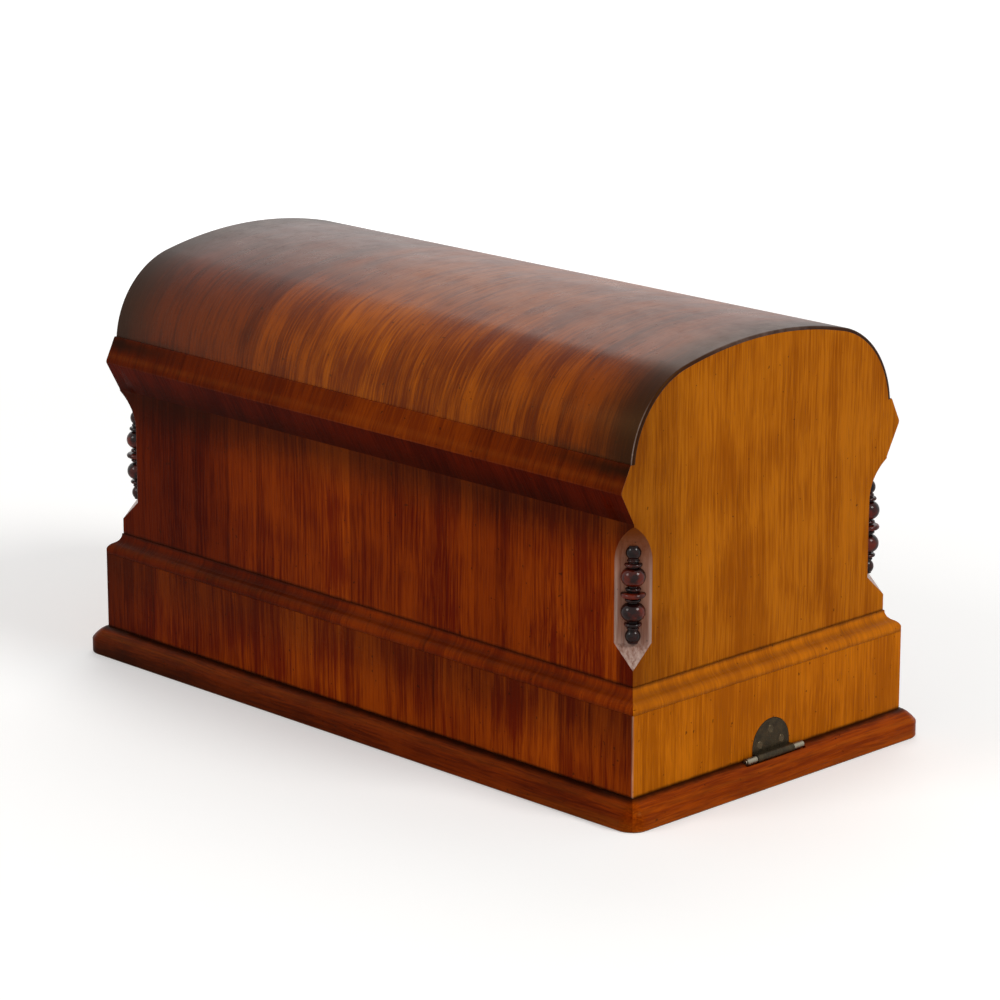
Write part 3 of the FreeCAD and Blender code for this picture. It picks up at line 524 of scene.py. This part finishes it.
# The eaves' tones also fall off towards the left end as painted shade.
EAVES_LEAVES_AND_SHADE = (
    (-218, 0.33, 0.37), (-150, 0.4, 0.5), (-84, 0.52, 0.64), (-6, 0.74, 0.94),
    (69, 0.86, 0.58), (112, 0.56, 0.62), (169, 0.6, 0.42), (218, 1, 1))
# Darker along the quirk below the vault towards both ends.
quirk_darkening = ((0.95, (("Z", SPRING - 3.5, 7.0), ("|X|", 224.0, 100.0))),)
eaves_veneer = walnut("eaves_walnut", ROUND_X, (0.27, 0.045, 0.001), (0.15, 0.019, 0.001),
                      bare_and_highlight=(0.5, 0.15, 0.02), leaves_and_shade=EAVES_LEAVES_AND_SHADE, soot_and_shade=quirk_darkening,
                      pale_marks=((0.16, (("Z", EAVES_NOSE + 4.0, 3.0),)),), pale_strength=0.45)
# The flare faces down and is painted in shade: a darker copy of the eaves' walnut, darkest at its
# foot.
flare_painted_shade = walnut("flare_walnut", ROUND_X, (0.088, 0.0058, 0.0003), (0.044, 0.0024, 0.0002),
                      bare_and_highlight=PALE_LINE, gloss=0.01, soot_and_shade=((0.5, (("Z", FLARE_FOOT, 16.0),)),),
                      pale_strength=0.4)
for side in LONG_SIDES:
    way = OUT[side]
    faces = [(way, side_veneer[side]),
             *[((sign, way[1], rise), chamfer_polish) for sign in (-1, 1)
               for rise in (-STOP_SLOPE, 0, STOP_SLOPE)],
             (None, carcase)]
    eased(f"{side}_panel", faces, 0.5, "Z", 0.25)
for side in ENDS:
    way = OUT[side]
    faces = [(way, end_veneer),
             *[((way[0], sign, rise), chamfer_polish) for sign in (-1, 1)
               for rise in (-STOP_SLOPE, 0, STOP_SLOPE)],
             *[((0, sign, rise), eaves_veneer, FLARE_FOOT) for sign in (-1, 1)
               for rise in (0, EAVES_SLOPE)],
             *[((0, sign, -EAVES_SLOPE), flare_painted_shade, FLARE_FOOT) for sign in (-1, 1)],
             *[(OUT[near_side], side_veneer[near_side]) for near_side in LONG_SIDES],
             (None, carcase)]
    eased(f"{side}_end_board", faces, 0.8, "Z", 0.25)


# Eaves: a solid moulding along each long side, flared under and sloped over, crossbanded
# like the walls, its flare painted in shade. The quirk below the vault is darker towards
# both ends, and the nose is rubbed.
for side in LONG_SIDES:
    sign = OUT[side][1]
    faces = [(OUT[side], eaves_veneer), ((0, sign, -EAVES_SLOPE), flare_painted_shade),
             ((0, -sign, 0), carcase), (None, eaves_veneer)]
    eased(f"eaves_moulding_{side}", faces, 0.4, "X", 0.3)


# Base band and its cyma: boards wrapped round the foot of the walls and mitred, veneered
# with upright grain. Their corners are worn to a pale line, with a painted highlight that is
# strongest on the front corners.
BAND_TOP = 63.5
BAND_X = 225.0
BAND_Y = 112.5
BAND_PALE = (0.53, 0.148, 0.003)
BAND_DEEP = (0.33, 0.080, 0.001)
# The front's tones also fall off towards the left end as painted shade.
BAND_LEAVES_AND_SHADE = {
    "front": (
        (-226, 0.38, 0.86), (-180, 1.05, 0.86), (-140, 0.86, 1.14), (-84, 1.14, 1.6),
        (-6, 1.26, 1.1), (69, 1.3, 1.12), (112, 1.16, 1.6), (169, 1.14, 1.3),
        (192, 1.24, 1.0), (226, 1, 1)),
    "back": (
        (-226, 0.7, 0.8), (-170, 1.1, 1.0), (-101, 0.85, 0.9), (-44, 1.15, 1.05),
        (25, 0.9, 0.95), (92, 1.2, 1.1), (150, 0.8, 0.75), (226, 1, 1)),
}
# Painted shadow along the seam under the cover, and dirt with painted shade along the joint under
# the cyma.
band_shadow_and_dirt = ((0.85, (("Z", PLINTH_TOP, 2.0),)), (0.6, (("Z", BAND_TOP + 0.6, 1.2),)))
# On the long sides the band is also darker towards the top.
side_band_darkening = (*band_shadow_and_dirt, (0.45, (("Z", BAND_TOP, 44.0),)))
# A pale line down each corner, worn and with a painted highlight, strongest at the front.
corner_wear_and_highlight = ((1.0, (("|X|", BAND_X, 1.2), ("Y", -BAND_Y, 1.2))),
              (0.4, (("|X|", BAND_X, 0.8), ("Y", BAND_Y, 0.8))))
band_veneer = {
    side: walnut(f"band_walnut_{side}", UPRIGHT, SIDE_PALE, SIDE_DEEP, bare_and_highlight=PALE_LINE,
                 leaves_and_shade=BAND_LEAVES_AND_SHADE[side], soot_and_shade=side_band_darkening, pale_marks=corner_wear_and_highlight)
    for side in LONG_SIDES
}
end_band_veneer = walnut("band_walnut_end", UPRIGHT, BAND_PALE, BAND_DEEP, bare_and_highlight=PALE_LINE,
                         soot_and_shade=band_shadow_and_dirt, pale_marks=corner_wear_and_highlight, figure=0.3)
# The cyma's tones also fall off towards the left end as painted shade.
CYMA_LEAVES_AND_SHADE = (
    (-226, 0.4, 0.44), (-140, 0.37, 0.44), (-84, 0.46, 0.62), (-20, 0.86, 0.78),
    (60, 0.92, 0.86), (112, 0.7, 0.8), (169, 1.0, 0.95), (226, 1, 1))
# Dirt and painted shade along both edges of the cyma, and painted shade across its middle.
cyma_dirt_and_shade = ((0.35, (("Z", BAND_TOP, 2.6),)), (0.3, (("Z", BAND_TOP + 7.0, 3.0),)),
             (0.6, (("Z", MOULDING_TOP, 1.8),)))
# A painted highlight along its lower swell.
cyma_highlight = ((0.1, (("Z", BAND_TOP + 5.0, 3.5),)),)
side_cyma = walnut("cyma_walnut_side", ROUND_X, (0.25, 0.033, 0.0008), (0.145, 0.013, 0.0005),
                   gloss=0.04, leaves_and_shade=CYMA_LEAVES_AND_SHADE, soot_and_shade=cyma_dirt_and_shade, pale_marks=cyma_highlight, pale_strength=0.5)
end_cyma = walnut("cyma_walnut_end", ROUND_Y, BAND_PALE, (0.36, 0.092, 0.002), gloss=0.06,
                  soot_and_shade=cyma_dirt_and_shade, pale_marks=cyma_highlight, pale_strength=0.6)
for side in OUT:
    if side in LONG_SIDES:
        slot, skin, run = "side_walnut", band_veneer[side], side_cyma
    else:
        slot, skin, run = "end_walnut", end_band_veneer, end_cyma
    inward = (-OUT[side][0], -OUT[side][1], 0)
    faces = [(OUT[side], skin), (inward, carcase), (DOWN, carcase), (None, skin)]
    eased(f"base_band_{side}", faces, 0.4, RUN[side] + "Z", 0.25)
    eased(f"base_moulding_{side}", [(None, run)], 0.25, RUN[side], 0.25)


# Vault: a sheet bent over the ends, its two shoulders turned tight and its crown nearly
# flat. The grain runs round it. The sheet laps the end boards and shows its dark edge. A
# painted highlight runs up the front of its right-hand arris, and a painted reflection, with
# some bloom of the polish, pales the crown.
SHOULDER_RADIUS = 55.0
SHOULDER_Y = 51.753
SHOULDER_Z = 195.729
CROWN = 257.0
SIDE_LEAN = 5.5
SHEET = 7.0
LAP = 2.0
VAULT_ARRIS = 0.9
VAULT_ARRIS_STEPS = 6
VAULT_POINTS = 141


class Recipe(Graph):
    """A geometry tree with named inputs, run once on an object and taken as a plain mesh."""

    def __init__(self, name):
        super().__init__(bpy.data.node_groups.new(name, "GeometryNodeTree"))
        for way in ("INPUT", "OUTPUT"):
            self.tree.interface.new_socket("Geometry", in_out=way, socket_type="NodeSocketGeometry")
        self.start = self.tree.nodes.new("NodeGroupInput")
        self.values = {}

    def input(self, name, kind, value):
        self.tree.interface.new_socket(name, in_out="INPUT", socket_type=f"NodeSocket{kind}")
        self.values[name] = value
        return self.start.outputs[name]

    def made(self, name, base, geometry, finish):
        """Ends the tree, applies it to the base mesh and returns the mesh that it gives."""
        whole = self.add("GeometryNodeRealizeInstances", geometry).outputs[0]
        coat = self.input("Finish", "Material", finish)
        dressed = self.add("GeometryNodeSetMaterial", whole, None, coat).outputs[0]
        self.feed(self.tree.nodes.new("NodeGroupOutput").inputs[0], dressed)
        carrier = bpy.data.objects.new("carrier", base)
        bpy.context.scene.collection.objects.link(carrier)
        modifier = carrier.modifiers.new("recipe", "NODES")
        modifier.node_group = self.tree
        for item in self.tree.interface.items_tree:
            if item.in_out == "INPUT" and item.name in self.values:
                modifier[item.identifier] = self.values[item.name]
        ready = carrier.evaluated_get(bpy.context.evaluated_depsgraph_get())
        mesh = bpy.data.meshes.new_from_object(ready)
        bpy.data.objects.remove(carrier)
        mesh.name = name
        for polygon in mesh.polygons:
            polygon.use_smooth = True
        return mesh


def sheet_section():
    """The sheet's outline along the box, as (x, depth) with its outer arrises rounded."""
    half = []
    for step in range(VAULT_ARRIS_STEPS + 1):
        turn = math.radians(90 * step / VAULT_ARRIS_STEPS)
        half.append((END_FACE - VAULT_ARRIS * (1 - math.sin(turn)),
                     VAULT_ARRIS * (1 - math.cos(turn))))
    half += [(END_FACE, LAP), (END_JOINT, LAP), (END_JOINT, SHEET)]
    return half + [(-x, depth) for x, depth in reversed(half)]


drop = SHOULDER_Z - CROWN
crown_radius = (SHOULDER_RADIUS ** 2 - SHOULDER_Y ** 2 - drop ** 2) / (2 * (drop + SHOULDER_RADIUS))
bend = Recipe("bent_sheet")
# The vault's tones also fall off towards the left end as painted shade.
VAULT_LEAVES_AND_SHADE = (
    (-217.5, 0.26, 0.34), (-150, 0.38, 0.48), (-92, 0.7, 0.82), (-38, 1.02, 1.12),
    (24, 0.96, 0.94), (93, 0.86, 0.76), (160, 0.62, 0.66), (217.5, 1, 1))
# Dark at the sheet's lapped edge, darker towards both ends and along the quirk near them, and
# dirtied over the crown.
vault_darkening = ((1.0, (("|X|", END_FACE + 0.8, 1.6),)), (0.93, (("|X|", END_FACE, 50.0),)),
              (0.85, (("Z", SPRING, 6.0), ("|X|", 224.0, 110.0))), (0.35, (("Z", CROWN, 16.0),)))
# A painted highlight up the front of the right-hand arris, and a painted reflection with some bloom
# of the polish over the crown.
vault_highlight_and_bloom = ((0.7, (("X", END_FACE - 0.8, 0.6), ("Y", -110.0, 24.0))),
              (0.16, (("Z", CROWN, 8.0),)))
vault_veneer = walnut("vault_walnut", ROUND_X, (0.355, 0.076, 0.0006), (0.135, 0.017, 0.0003),
                      bare_and_highlight=(0.62, 0.46, 0.40), polish=0.26, gloss=0.17, leaves_and_shade=VAULT_LEAVES_AND_SHADE,
                      soot_and_shade=vault_darkening, pale_marks=vault_highlight_and_bloom, patches=(0.15, 0.15, 0.15))
foot = bend.input("Foot angle", "Float", math.radians(90 - SIDE_LEAN))
meeting_angle = math.atan2(SHOULDER_Y, SHOULDER_Z - CROWN + crown_radius)
meet = bend.input("Meeting angle", "Float", meeting_angle)
shoulder_y = bend.input("Shoulder centre Y", "Float", SHOULDER_Y * MM)
shoulder_z = bend.input("Shoulder centre Z", "Float", SHOULDER_Z * MM)
shoulder = bend.input("Shoulder radius", "Float", SHOULDER_RADIUS * MM)
crown_z = bend.input("Crown centre Z", "Float", (CROWN - crown_radius) * MM)
crown = bend.input("Crown radius", "Float", crown_radius * MM)
points = bend.input("Points", "Int", VAULT_POINTS)
line = bend.add("GeometryNodeMeshLine")
bend.feed(line.inputs["Count"], points)
last = bend.sum("SUBTRACT", points, 1.0)
place = bend.add("GeometryNodeInputIndex").outputs[0]
share = bend.sum("DIVIDE", bend.sum("MULTIPLY", place, 2.0), last)
turn = bend.sum("MULTIPLY", foot, bend.sum("SUBTRACT", share, 1.0))
tight = bend.sum("GREATER_THAN", bend.sum("ABSOLUTE", turn), meet)
wide = bend.sum("SUBTRACT", 1.0, tight)
reach = bend.sum("ADD", bend.sum("MULTIPLY", shoulder, tight), bend.sum("MULTIPLY", crown, wide))
y = bend.sum("MULTIPLY", bend.sum("MULTIPLY", shoulder_y, tight), bend.sum("SIGN", turn))
y = bend.sum("MULTIPLY_ADD", reach, bend.sum("SINE", turn), y)
z = bend.sum("ADD", bend.sum("MULTIPLY", shoulder_z, tight), bend.sum("MULTIPLY", crown_z, wide))
z = bend.sum("MULTIPLY_ADD", reach, bend.sum("COSINE", turn), z)
arch = bend.add("ShaderNodeCombineXYZ", 0.0, y, z).outputs[0]
arch = bend.add("GeometryNodeSetPosition", line.outputs[0], None, arch).outputs[0]
path = bend.add("GeometryNodeMeshToCurve", arch).outputs[0]
section = bend.add("GeometryNodeMeshToCurve", bend.start.outputs["Geometry"]).outputs[0]
bent = bend.add("GeometryNodeCurveToMesh")
bend.feed(bent.inputs["Curve"], path)
bend.feed(bent.inputs["Profile Curve"], section)
bend.feed(bent.inputs["Fill Caps"], True)

outline = sheet_section()
section_mesh = bpy.data.meshes.new("sheet_section")
loop = [(i, (i + 1) % len(outline)) for i in range(len(outline))]
section_mesh.from_pydata([(x * MM, depth * MM, 0) for x, depth in outline], loop, [])
vault_mesh = bend.made("vault_top", section_mesh, bent.outputs[0], vault_veneer)
stand_for("vault_top", vault_mesh)


# Corner spindles: turnings of discs, rings and balls, ebonised, split in half and glued into
# the chamfers. Where the balls stand proud the black has worn to red-brown.
SPINDLE_GAP = 13.0
NECK = 2.9
NECK_RUN = 0.6
MIDDLE_DISC = (3.4, 7.0)
MEMBERS = [(2.3, 4.4), (12.4, 6.9), (2.3, 5.0), (1.6, 3.5), (7.7, 4.3)]
BELLY_STEPS = 8
WORN_FROM = 4.2
WORN_OVER = 2.0


def turned(profile, sweep=math.pi, steps=28):
    """A mesh turned about the upright axis from (radius, level) points in millimetres."""
    shape = bmesh.new()
    columns = []
    for step in range(steps + 1):
        angle = -sweep / 2 + sweep * step / steps
        cos, sin = math.cos(angle), math.sin(angle)
        columns.append([shape.verts.new((r * MM * cos, r * MM * sin, z * MM)) for r, z in profile])
    for first, second in zip(columns, columns[1:]):
        for k in range(len(profile) - 1):
            shape.faces.new((first[k], second[k], second[k + 1], first[k + 1]))
    if sweep < 2 * math.pi:
        shape.faces.new([*columns[0], *reversed(columns[-1])])
    bmesh.ops.remove_doubles(shape, verts=shape.verts, dist=1e-7)
    bmesh.ops.dissolve_degenerate(shape, edges=shape.edges, dist=1e-8)
    bmesh.ops.recalc_face_normals(shape, faces=shape.faces)
    return shape


def member(base, height, belly):
    """Profile of one member: a bead where it is round, flats and a round edge for a disc."""
    half, proud = height / 2, belly - NECK
    if proud > half:
        centre, radius, swing = belly - half, half, math.pi / 2
    else:
        radius = (half ** 2 + proud ** 2) / (2 * proud)
        centre, swing = belly - radius, math.asin(half / radius)
    turns = [swing * (step / BELLY_STEPS - 1) for step in range(2 * BELLY_STEPS + 1)]
    arc = [(centre + radius * math.cos(turn), base + half + radius * math.sin(turn))
           for turn in turns]
    return [(NECK, base), *arc, (NECK, base + height)]


stack = MEMBERS[::-1] + [MIDDLE_DISC] + MEMBERS
spindle_run = CHAMFER_HIGH - CHAMFER_LOW - 2 * SPINDLE_GAP
stretch = (spindle_run - NECK_RUN * (len(stack) + 1)) / sum(height for height, belly in stack)
level = CHAMFER_LOW + SPINDLE_GAP
profile = [(0.0, level), (NECK, level)]
for height, belly in stack:
    level += NECK_RUN
    profile += member(level, height * stretch, belly)
    level += height * stretch
level += NECK_RUN
profile += [(NECK, level), (0.0, level)]

ebony = Finish("ebonised_turning")
at = ebony.place()
red = ebony.fade(ebony.cloud(at, 8.0, 2.0, 0.5), 0.40, 0.64, 0.08)
bellies = ebony.add("ShaderNodeAttribute", attribute_name="worn").outputs["Fac"]
red = ebony.sum("MULTIPLY", red, ebony.sum("MULTIPLY_ADD", bellies, 0.8, 0.2))
ebony_colour = ebony.mix(red, (0.004, 0.0015, 0.0015), (0.12, 0.010, 0.002))
ebony_dull = ebony.fade(ebony.cloud(at, 2.0, 2.0), 0.3, 0.8, 0.06, 0.18)
ebony.surface(ebony_colour, ebony_dull, ebony.cloud(at, 1.5), 0.01, Specular_IOR_Level=0.22)
for end, side in ((end, side) for end in ENDS for side in LONG_SIDES):
    sx, sy = OUT[end][0], OUT[side][1]
    shape = turned(profile)
    worn = shape.verts.layers.float.new("worn")
    facing = math.atan2(sy, sx)
    cos, sin = math.cos(facing), math.sin(facing)
    for vertex in shape.verts:
        x, y, z = vertex.co
        vertex[worn] = min(1.0, max(0.0, (math.hypot(x, y) / MM - WORN_FROM) / WORN_OVER))
        vertex.co = (x * cos - y * sin + sx * (END_FACE - CHAMFER_LEG / 2) * MM,
                     x * sin + y * cos + sy * (WALL_Y - CHAMFER_LEG / 2) * MM, z)
    name = f"corner_spindle_{side}_{end}"
    mesh = bpy.data.meshes.new(name)
    for face in shape.faces:
        face.smooth = True
    shape.to_mesh(mesh)
    mesh.materials.append(ebony.material)
    stand_for(name, mesh)


# Glue blocks: pine, three-sided. One stands up each corner of the cover and short ones are
# rubbed into the angle under the vault, five a side.
INNER_Y = 94.5
BLOCK_LENGTH = 42.0
BLOCK_COUNT = 5
BLOCK_RISE = 11.0
pine = walnut("glue_block_pine", UPRIGHT, (0.62, 0.43, 0.22), (0.45, 0.27, 0.11), polish=0.7,
              gloss=0.1, pale_strength=0.2)
for end in ENDS:
    for side in LONG_SIDES:
        eased(f"corner_block_{side}_{end}", [(None, pine)], 0.6, "Z", 0.4)


def set_out(name, places, part, seat, finish, turn, seed=7):
    """Copies of one part at the places, seated by the angles and turned at random by up to
    the turn about their own upright axis. They stand for the solids of the same name."""
    layout = Recipe(name)
    model = layout.input("Part", "Object", part)
    seated = layout.input("Seat", "Vector", seat)
    most = layout.input("Largest turn", "Float", turn)
    picked = layout.input("Seed", "Int", seed)
    shape = layout.add("GeometryNodeObjectInfo", model).outputs["Geometry"]
    points = layout.start.outputs["Geometry"]
    spread = layout.add("GeometryNodeInstanceOnPoints", points, None, shape)
    layout.feed(spread.inputs["Rotation"], seated)
    chance = layout.add("FunctionNodeRandomValue", data_type="FLOAT")
    layout.feed(chance.inputs[2], layout.sum("MULTIPLY", most, -1.0))
    layout.feed(chance.inputs[3], most)
    layout.feed(chance.inputs["Seed"], picked)
    twist = layout.add("ShaderNodeCombineXYZ", 0.0, 0.0, chance.outputs[1]).outputs[0]
    spun = layout.add("GeometryNodeRotateInstances", spread.outputs[0], None, twist).outputs[0]
    marks = bpy.data.meshes.new("places")
    marks.from_pydata([Vector(place) * MM for place in places], [], [])
    mesh = layout.made(name, marks, spun, finish)
    bpy.data.objects.remove(part)
    stand_for(name, mesh)


def template(shape):
    """An object for one part, from a mesh under way."""
    mesh = bpy.data.meshes.new("template")
    shape.to_mesh(mesh)
    shape.free()
    part = bpy.data.objects.new("template", mesh)
    bpy.context.scene.collection.objects.link(part)
    return part


inner_radius = SHOULDER_RADIUS - SHEET
lean = math.radians(SIDE_LEAN)
block_foot = (SHOULDER_Y + inner_radius * math.cos(lean),
              SHOULDER_Z + inner_radius * math.sin(lean))
block_top = block_foot[1] + BLOCK_RISE
block_corners = [(INNER_Y, block_foot[1]), block_foot,
                 (SHOULDER_Y + math.sqrt(inner_radius ** 2 - (block_top - SHOULDER_Z) ** 2),
                  block_top)]
middle = [sum(corner[i] for corner in block_corners) / 3 for i in (0, 1)]
pitch = 2 * END_JOINT / BLOCK_COUNT
AS_MADE = (0, 0, 0)
for side in LONG_SIDES:
    sign = OUT[side][1]
    shape = bmesh.new()
    for x in (-BLOCK_LENGTH / 2, BLOCK_LENGTH / 2):
        for y, z in block_corners:
            shape.verts.new((x * MM, sign * (y - middle[0]) * MM, (z - middle[1]) * MM))
    bmesh.ops.convex_hull(shape, input=shape.verts)
    places = [(-END_JOINT + pitch * (i + 0.5), sign * middle[0], middle[1])
              for i in range(BLOCK_COUNT)]
    set_out(f"vault_blocks_{side}", places, template(shape), AS_MADE, pine, 0.0)


# Hinge: a half-round iron leaf, bronzed, let flush into the end band and held by three
# slotted screws. Its knuckle turns on a bright steel pin between the plinth leaf's eyes.
PLATE_DARK = (0.050, 0.034, 0.014)
PLATE_RUBBED = (0.24, 0.18, 0.09)
STEEL = (0.27, 0.24, 0.18)
EYE_MIDDLE = 19.5
KNUCKLE_HALF = 15.2
SCREW_INSET = 6.2
LEAF_HEIGHT = 20.0
BASE_SCREW_SETBACK = 6.5
BASE_SCREW_REACH = 12
# Each screw's head radius, shank radius and length.
WOOD_SCREW = (2.3, 1.1, 13.0)
SMALL_SCREW = (1.9, 0.9, 8.0)
COUNTING_WAY = Vector((0.272, 0.618, 1.0))
SLOT_HALF = 0.3
SLOT_DEPTH = 0.7


def metal(name, colour, bright, dull=0.34, patina=0.5, pale_marks=(), metallic=1.0):
    """Metal with a patchy patina, brighter on its worn arrises and over the rubbing marks."""
    plate = Finish(name)
    at = plate.place()
    blotch = plate.cloud(at, 5.0, 4.0, 0.65)
    split = plate.add("ShaderNodeSeparateXYZ", at).outputs
    shine = plate.add("ShaderNodeAttribute", attribute_name="worn").outputs["Fac"]
    shine = plate.sum("MULTIPLY", shine, plate.fade(blotch, 0.35, 0.6))
    for limits in pale_marks:
        here = 1.0
        for axis, place, reach in limits:
            away = plate.sum("SUBTRACT", plate.sum("ABSOLUTE", split[axis]), place)
            away = plate.sum("ABSOLUTE", away)
            here = plate.sum("MULTIPLY", plate.fade(away, reach, reach * 0.9), here)
        shine = plate.sum("MAXIMUM", shine, here)
    tone = plate.sum("MULTIPLY", plate.fade(blotch, 0.38, 0.66), patina)
    colour = plate.mix(tone, colour, tuple(c * 0.45 for c in colour))
    colour = plate.mix(shine, colour, bright)
    rough = plate.fade(plate.cloud(at, 1.3, 3.0, 0.6), 0.3, 0.75, dull - 0.1, dull + 0.14)
    return plate.surface(colour, rough, plate.cloud(at, 0.9, 2.0), 0.02, Metallic=metallic)


leaf_iron = metal("bronzed_leaf", PLATE_DARK, PLATE_RUBBED, patina=0.85, metallic=0.75)
eye_iron = metal("bronzed_base_leaf", PLATE_DARK, STEEL,
                 pale_marks=((("Y", EYE_MIDDLE, 4.3), ("Z", PLINTH_TOP, 3.0)),))
pin_steel = metal("bright_steel", STEEL, (0.62, 0.60, 0.55), dull=0.3, patina=0.6)
screw_iron = metal("screw_iron", (0.11, 0.085, 0.05), (0.42, 0.38, 0.30), dull=0.24, patina=0.7)
eased("hinge_cover_leaf", [(None, leaf_iron)], 0.25, "YZ", 0.1)
eased("hinge_base_leaf", [(None, eye_iron)], 0.2)
eased("hinge_pin", [(None, pin_steel)], 0.35)


def slotted_screw(head, shank, length):
    """A countersunk screw, head up, its face at level 0."""
    side_view = [(0, 0), (head - 0.15, 0), (head, -0.12), (shank, shank - head),
                 (shank, -length), (0, -length)]
    shape = turned(side_view, 2 * math.pi, 32)
    for sign in (-1, 1):
        everything = shape.verts[:] + shape.edges[:] + shape.faces[:]
        bmesh.ops.bisect_plane(shape, geom=everything, dist=1e-8,
                               plane_co=(0, sign * SLOT_HALF * MM, 0), plane_no=(0, 1, 0))
    bmesh.ops.recalc_face_normals(shape, faces=shape.faces)
    groove = [f for f in shape.faces
              if f.normal.z > 0.9 and abs(f.calc_center_median().y) < SLOT_HALF * MM]
    sunk = bmesh.ops.extrude_face_region(shape, geom=groove)
    floor_verts = [v for v in sunk["geom"] if isinstance(v, bmesh.types.BMVert)]
    bmesh.ops.translate(shape, vec=(0, 0, -SLOT_DEPTH * MM), verts=floor_verts)
    # Cutting leaves the corners and faces in a chance order, so they are put in a fixed one.
    shape.verts.sort(key=lambda vertex: vertex.co.dot(COUNTING_WAY))
    shape.faces.sort(key=lambda face: face.calc_center_median().dot(COUNTING_WAY))
    return template(shape)


INTO_END = (0, math.pi / 2, 0)
ANY_WAY = math.pi
leaf_low = PLINTH_TOP + SCREW_INSET
leaf_wide = KNUCKLE_HALF - SCREW_INSET
leaf_places = [(BAND_X, 0, PLINTH_TOP + LEAF_HEIGHT - SCREW_INSET),
               (BAND_X, -leaf_wide, leaf_low), (BAND_X, leaf_wide, leaf_low)]
set_out("hinge_cover_screws", leaf_places, slotted_screw(*WOOD_SCREW), INTO_END,
        screw_iron, ANY_WAY, 3)
base_places = [(BAND_X - BASE_SCREW_SETBACK, sign * BASE_SCREW_REACH, PLINTH_TOP)
               for sign in (-1, 1)]
set_out("hinge_base_screws", base_places, slotted_screw(*SMALL_SCREW), AS_MADE,
        screw_iron, ANY_WAY, 5)


# Lock: an iron case on the inside of the other end, whose brass bolt shoots sideways through
# the staple of a brass plate let into the plinth. Outside is an escutcheon on two pins.
LOCK_X = -199.0
LOCK_DEPTH = 16.0
LOCK_WIDTH = 44.0
LOCK_TOP = 45.0
STRIKE_LENGTH = 34.0
KEY_Y = 11.0
KEY_MIDDLE_Z = 28.7
PIN_REACH = 9.6
ESCUTCHEON = 1.0
LOCK_SCREW = (1.9, 0.9, 24.0)
case_iron = metal("lock_iron", (0.10, 0.095, 0.09), (0.34, 0.33, 0.31), dull=0.42)
brass = metal("brass", (0.40, 0.235, 0.065), (0.78, 0.55, 0.22), dull=0.3, patina=0.8)
eased("lock_case", [(None, case_iron)], 0.3, "YZ", 0.1)
eased("lock_bolt", [(None, brass)], 0.2)
eased("strike_plate", [(None, brass)], 0.2)
eased("keyhole_escutcheon", [(None, brass)], 0.25)
lock_places = [(LOCK_X + LOCK_DEPTH / 2, sign * (LOCK_WIDTH - SCREW_INSET) / 2,
                LOCK_TOP - SCREW_INSET / 2) for sign in (-1, 1)]
set_out("lock_screws", lock_places, slotted_screw(*LOCK_SCREW), INTO_END,
        screw_iron, ANY_WAY, 11)
strike_places = [(LOCK_X, sign * (STRIKE_LENGTH / 2 - SCREW_INSET), PLINTH_TOP)
                 for sign in (-1, 1)]
set_out("strike_screws", strike_places, slotted_screw(*SMALL_SCREW), AS_MADE,
        screw_iron, ANY_WAY, 13)
INTO_OTHER_END = (0, -math.pi / 2, 0)
pin_profile = [(0, 0), (0.45, -0.03), (0.62, -0.12), (0.7, -0.3), (0.7, -6.0), (0, -6.0)]
pin_places = [(-BAND_X - ESCUTCHEON, KEY_Y, KEY_MIDDLE_Z + sign * PIN_REACH) for sign in (-1, 1)]
pin_part = template(turned(pin_profile, 2 * math.pi, 24))
set_out("escutcheon_pins", pin_places, pin_part, INTO_OTHER_END, brass, 0.0)
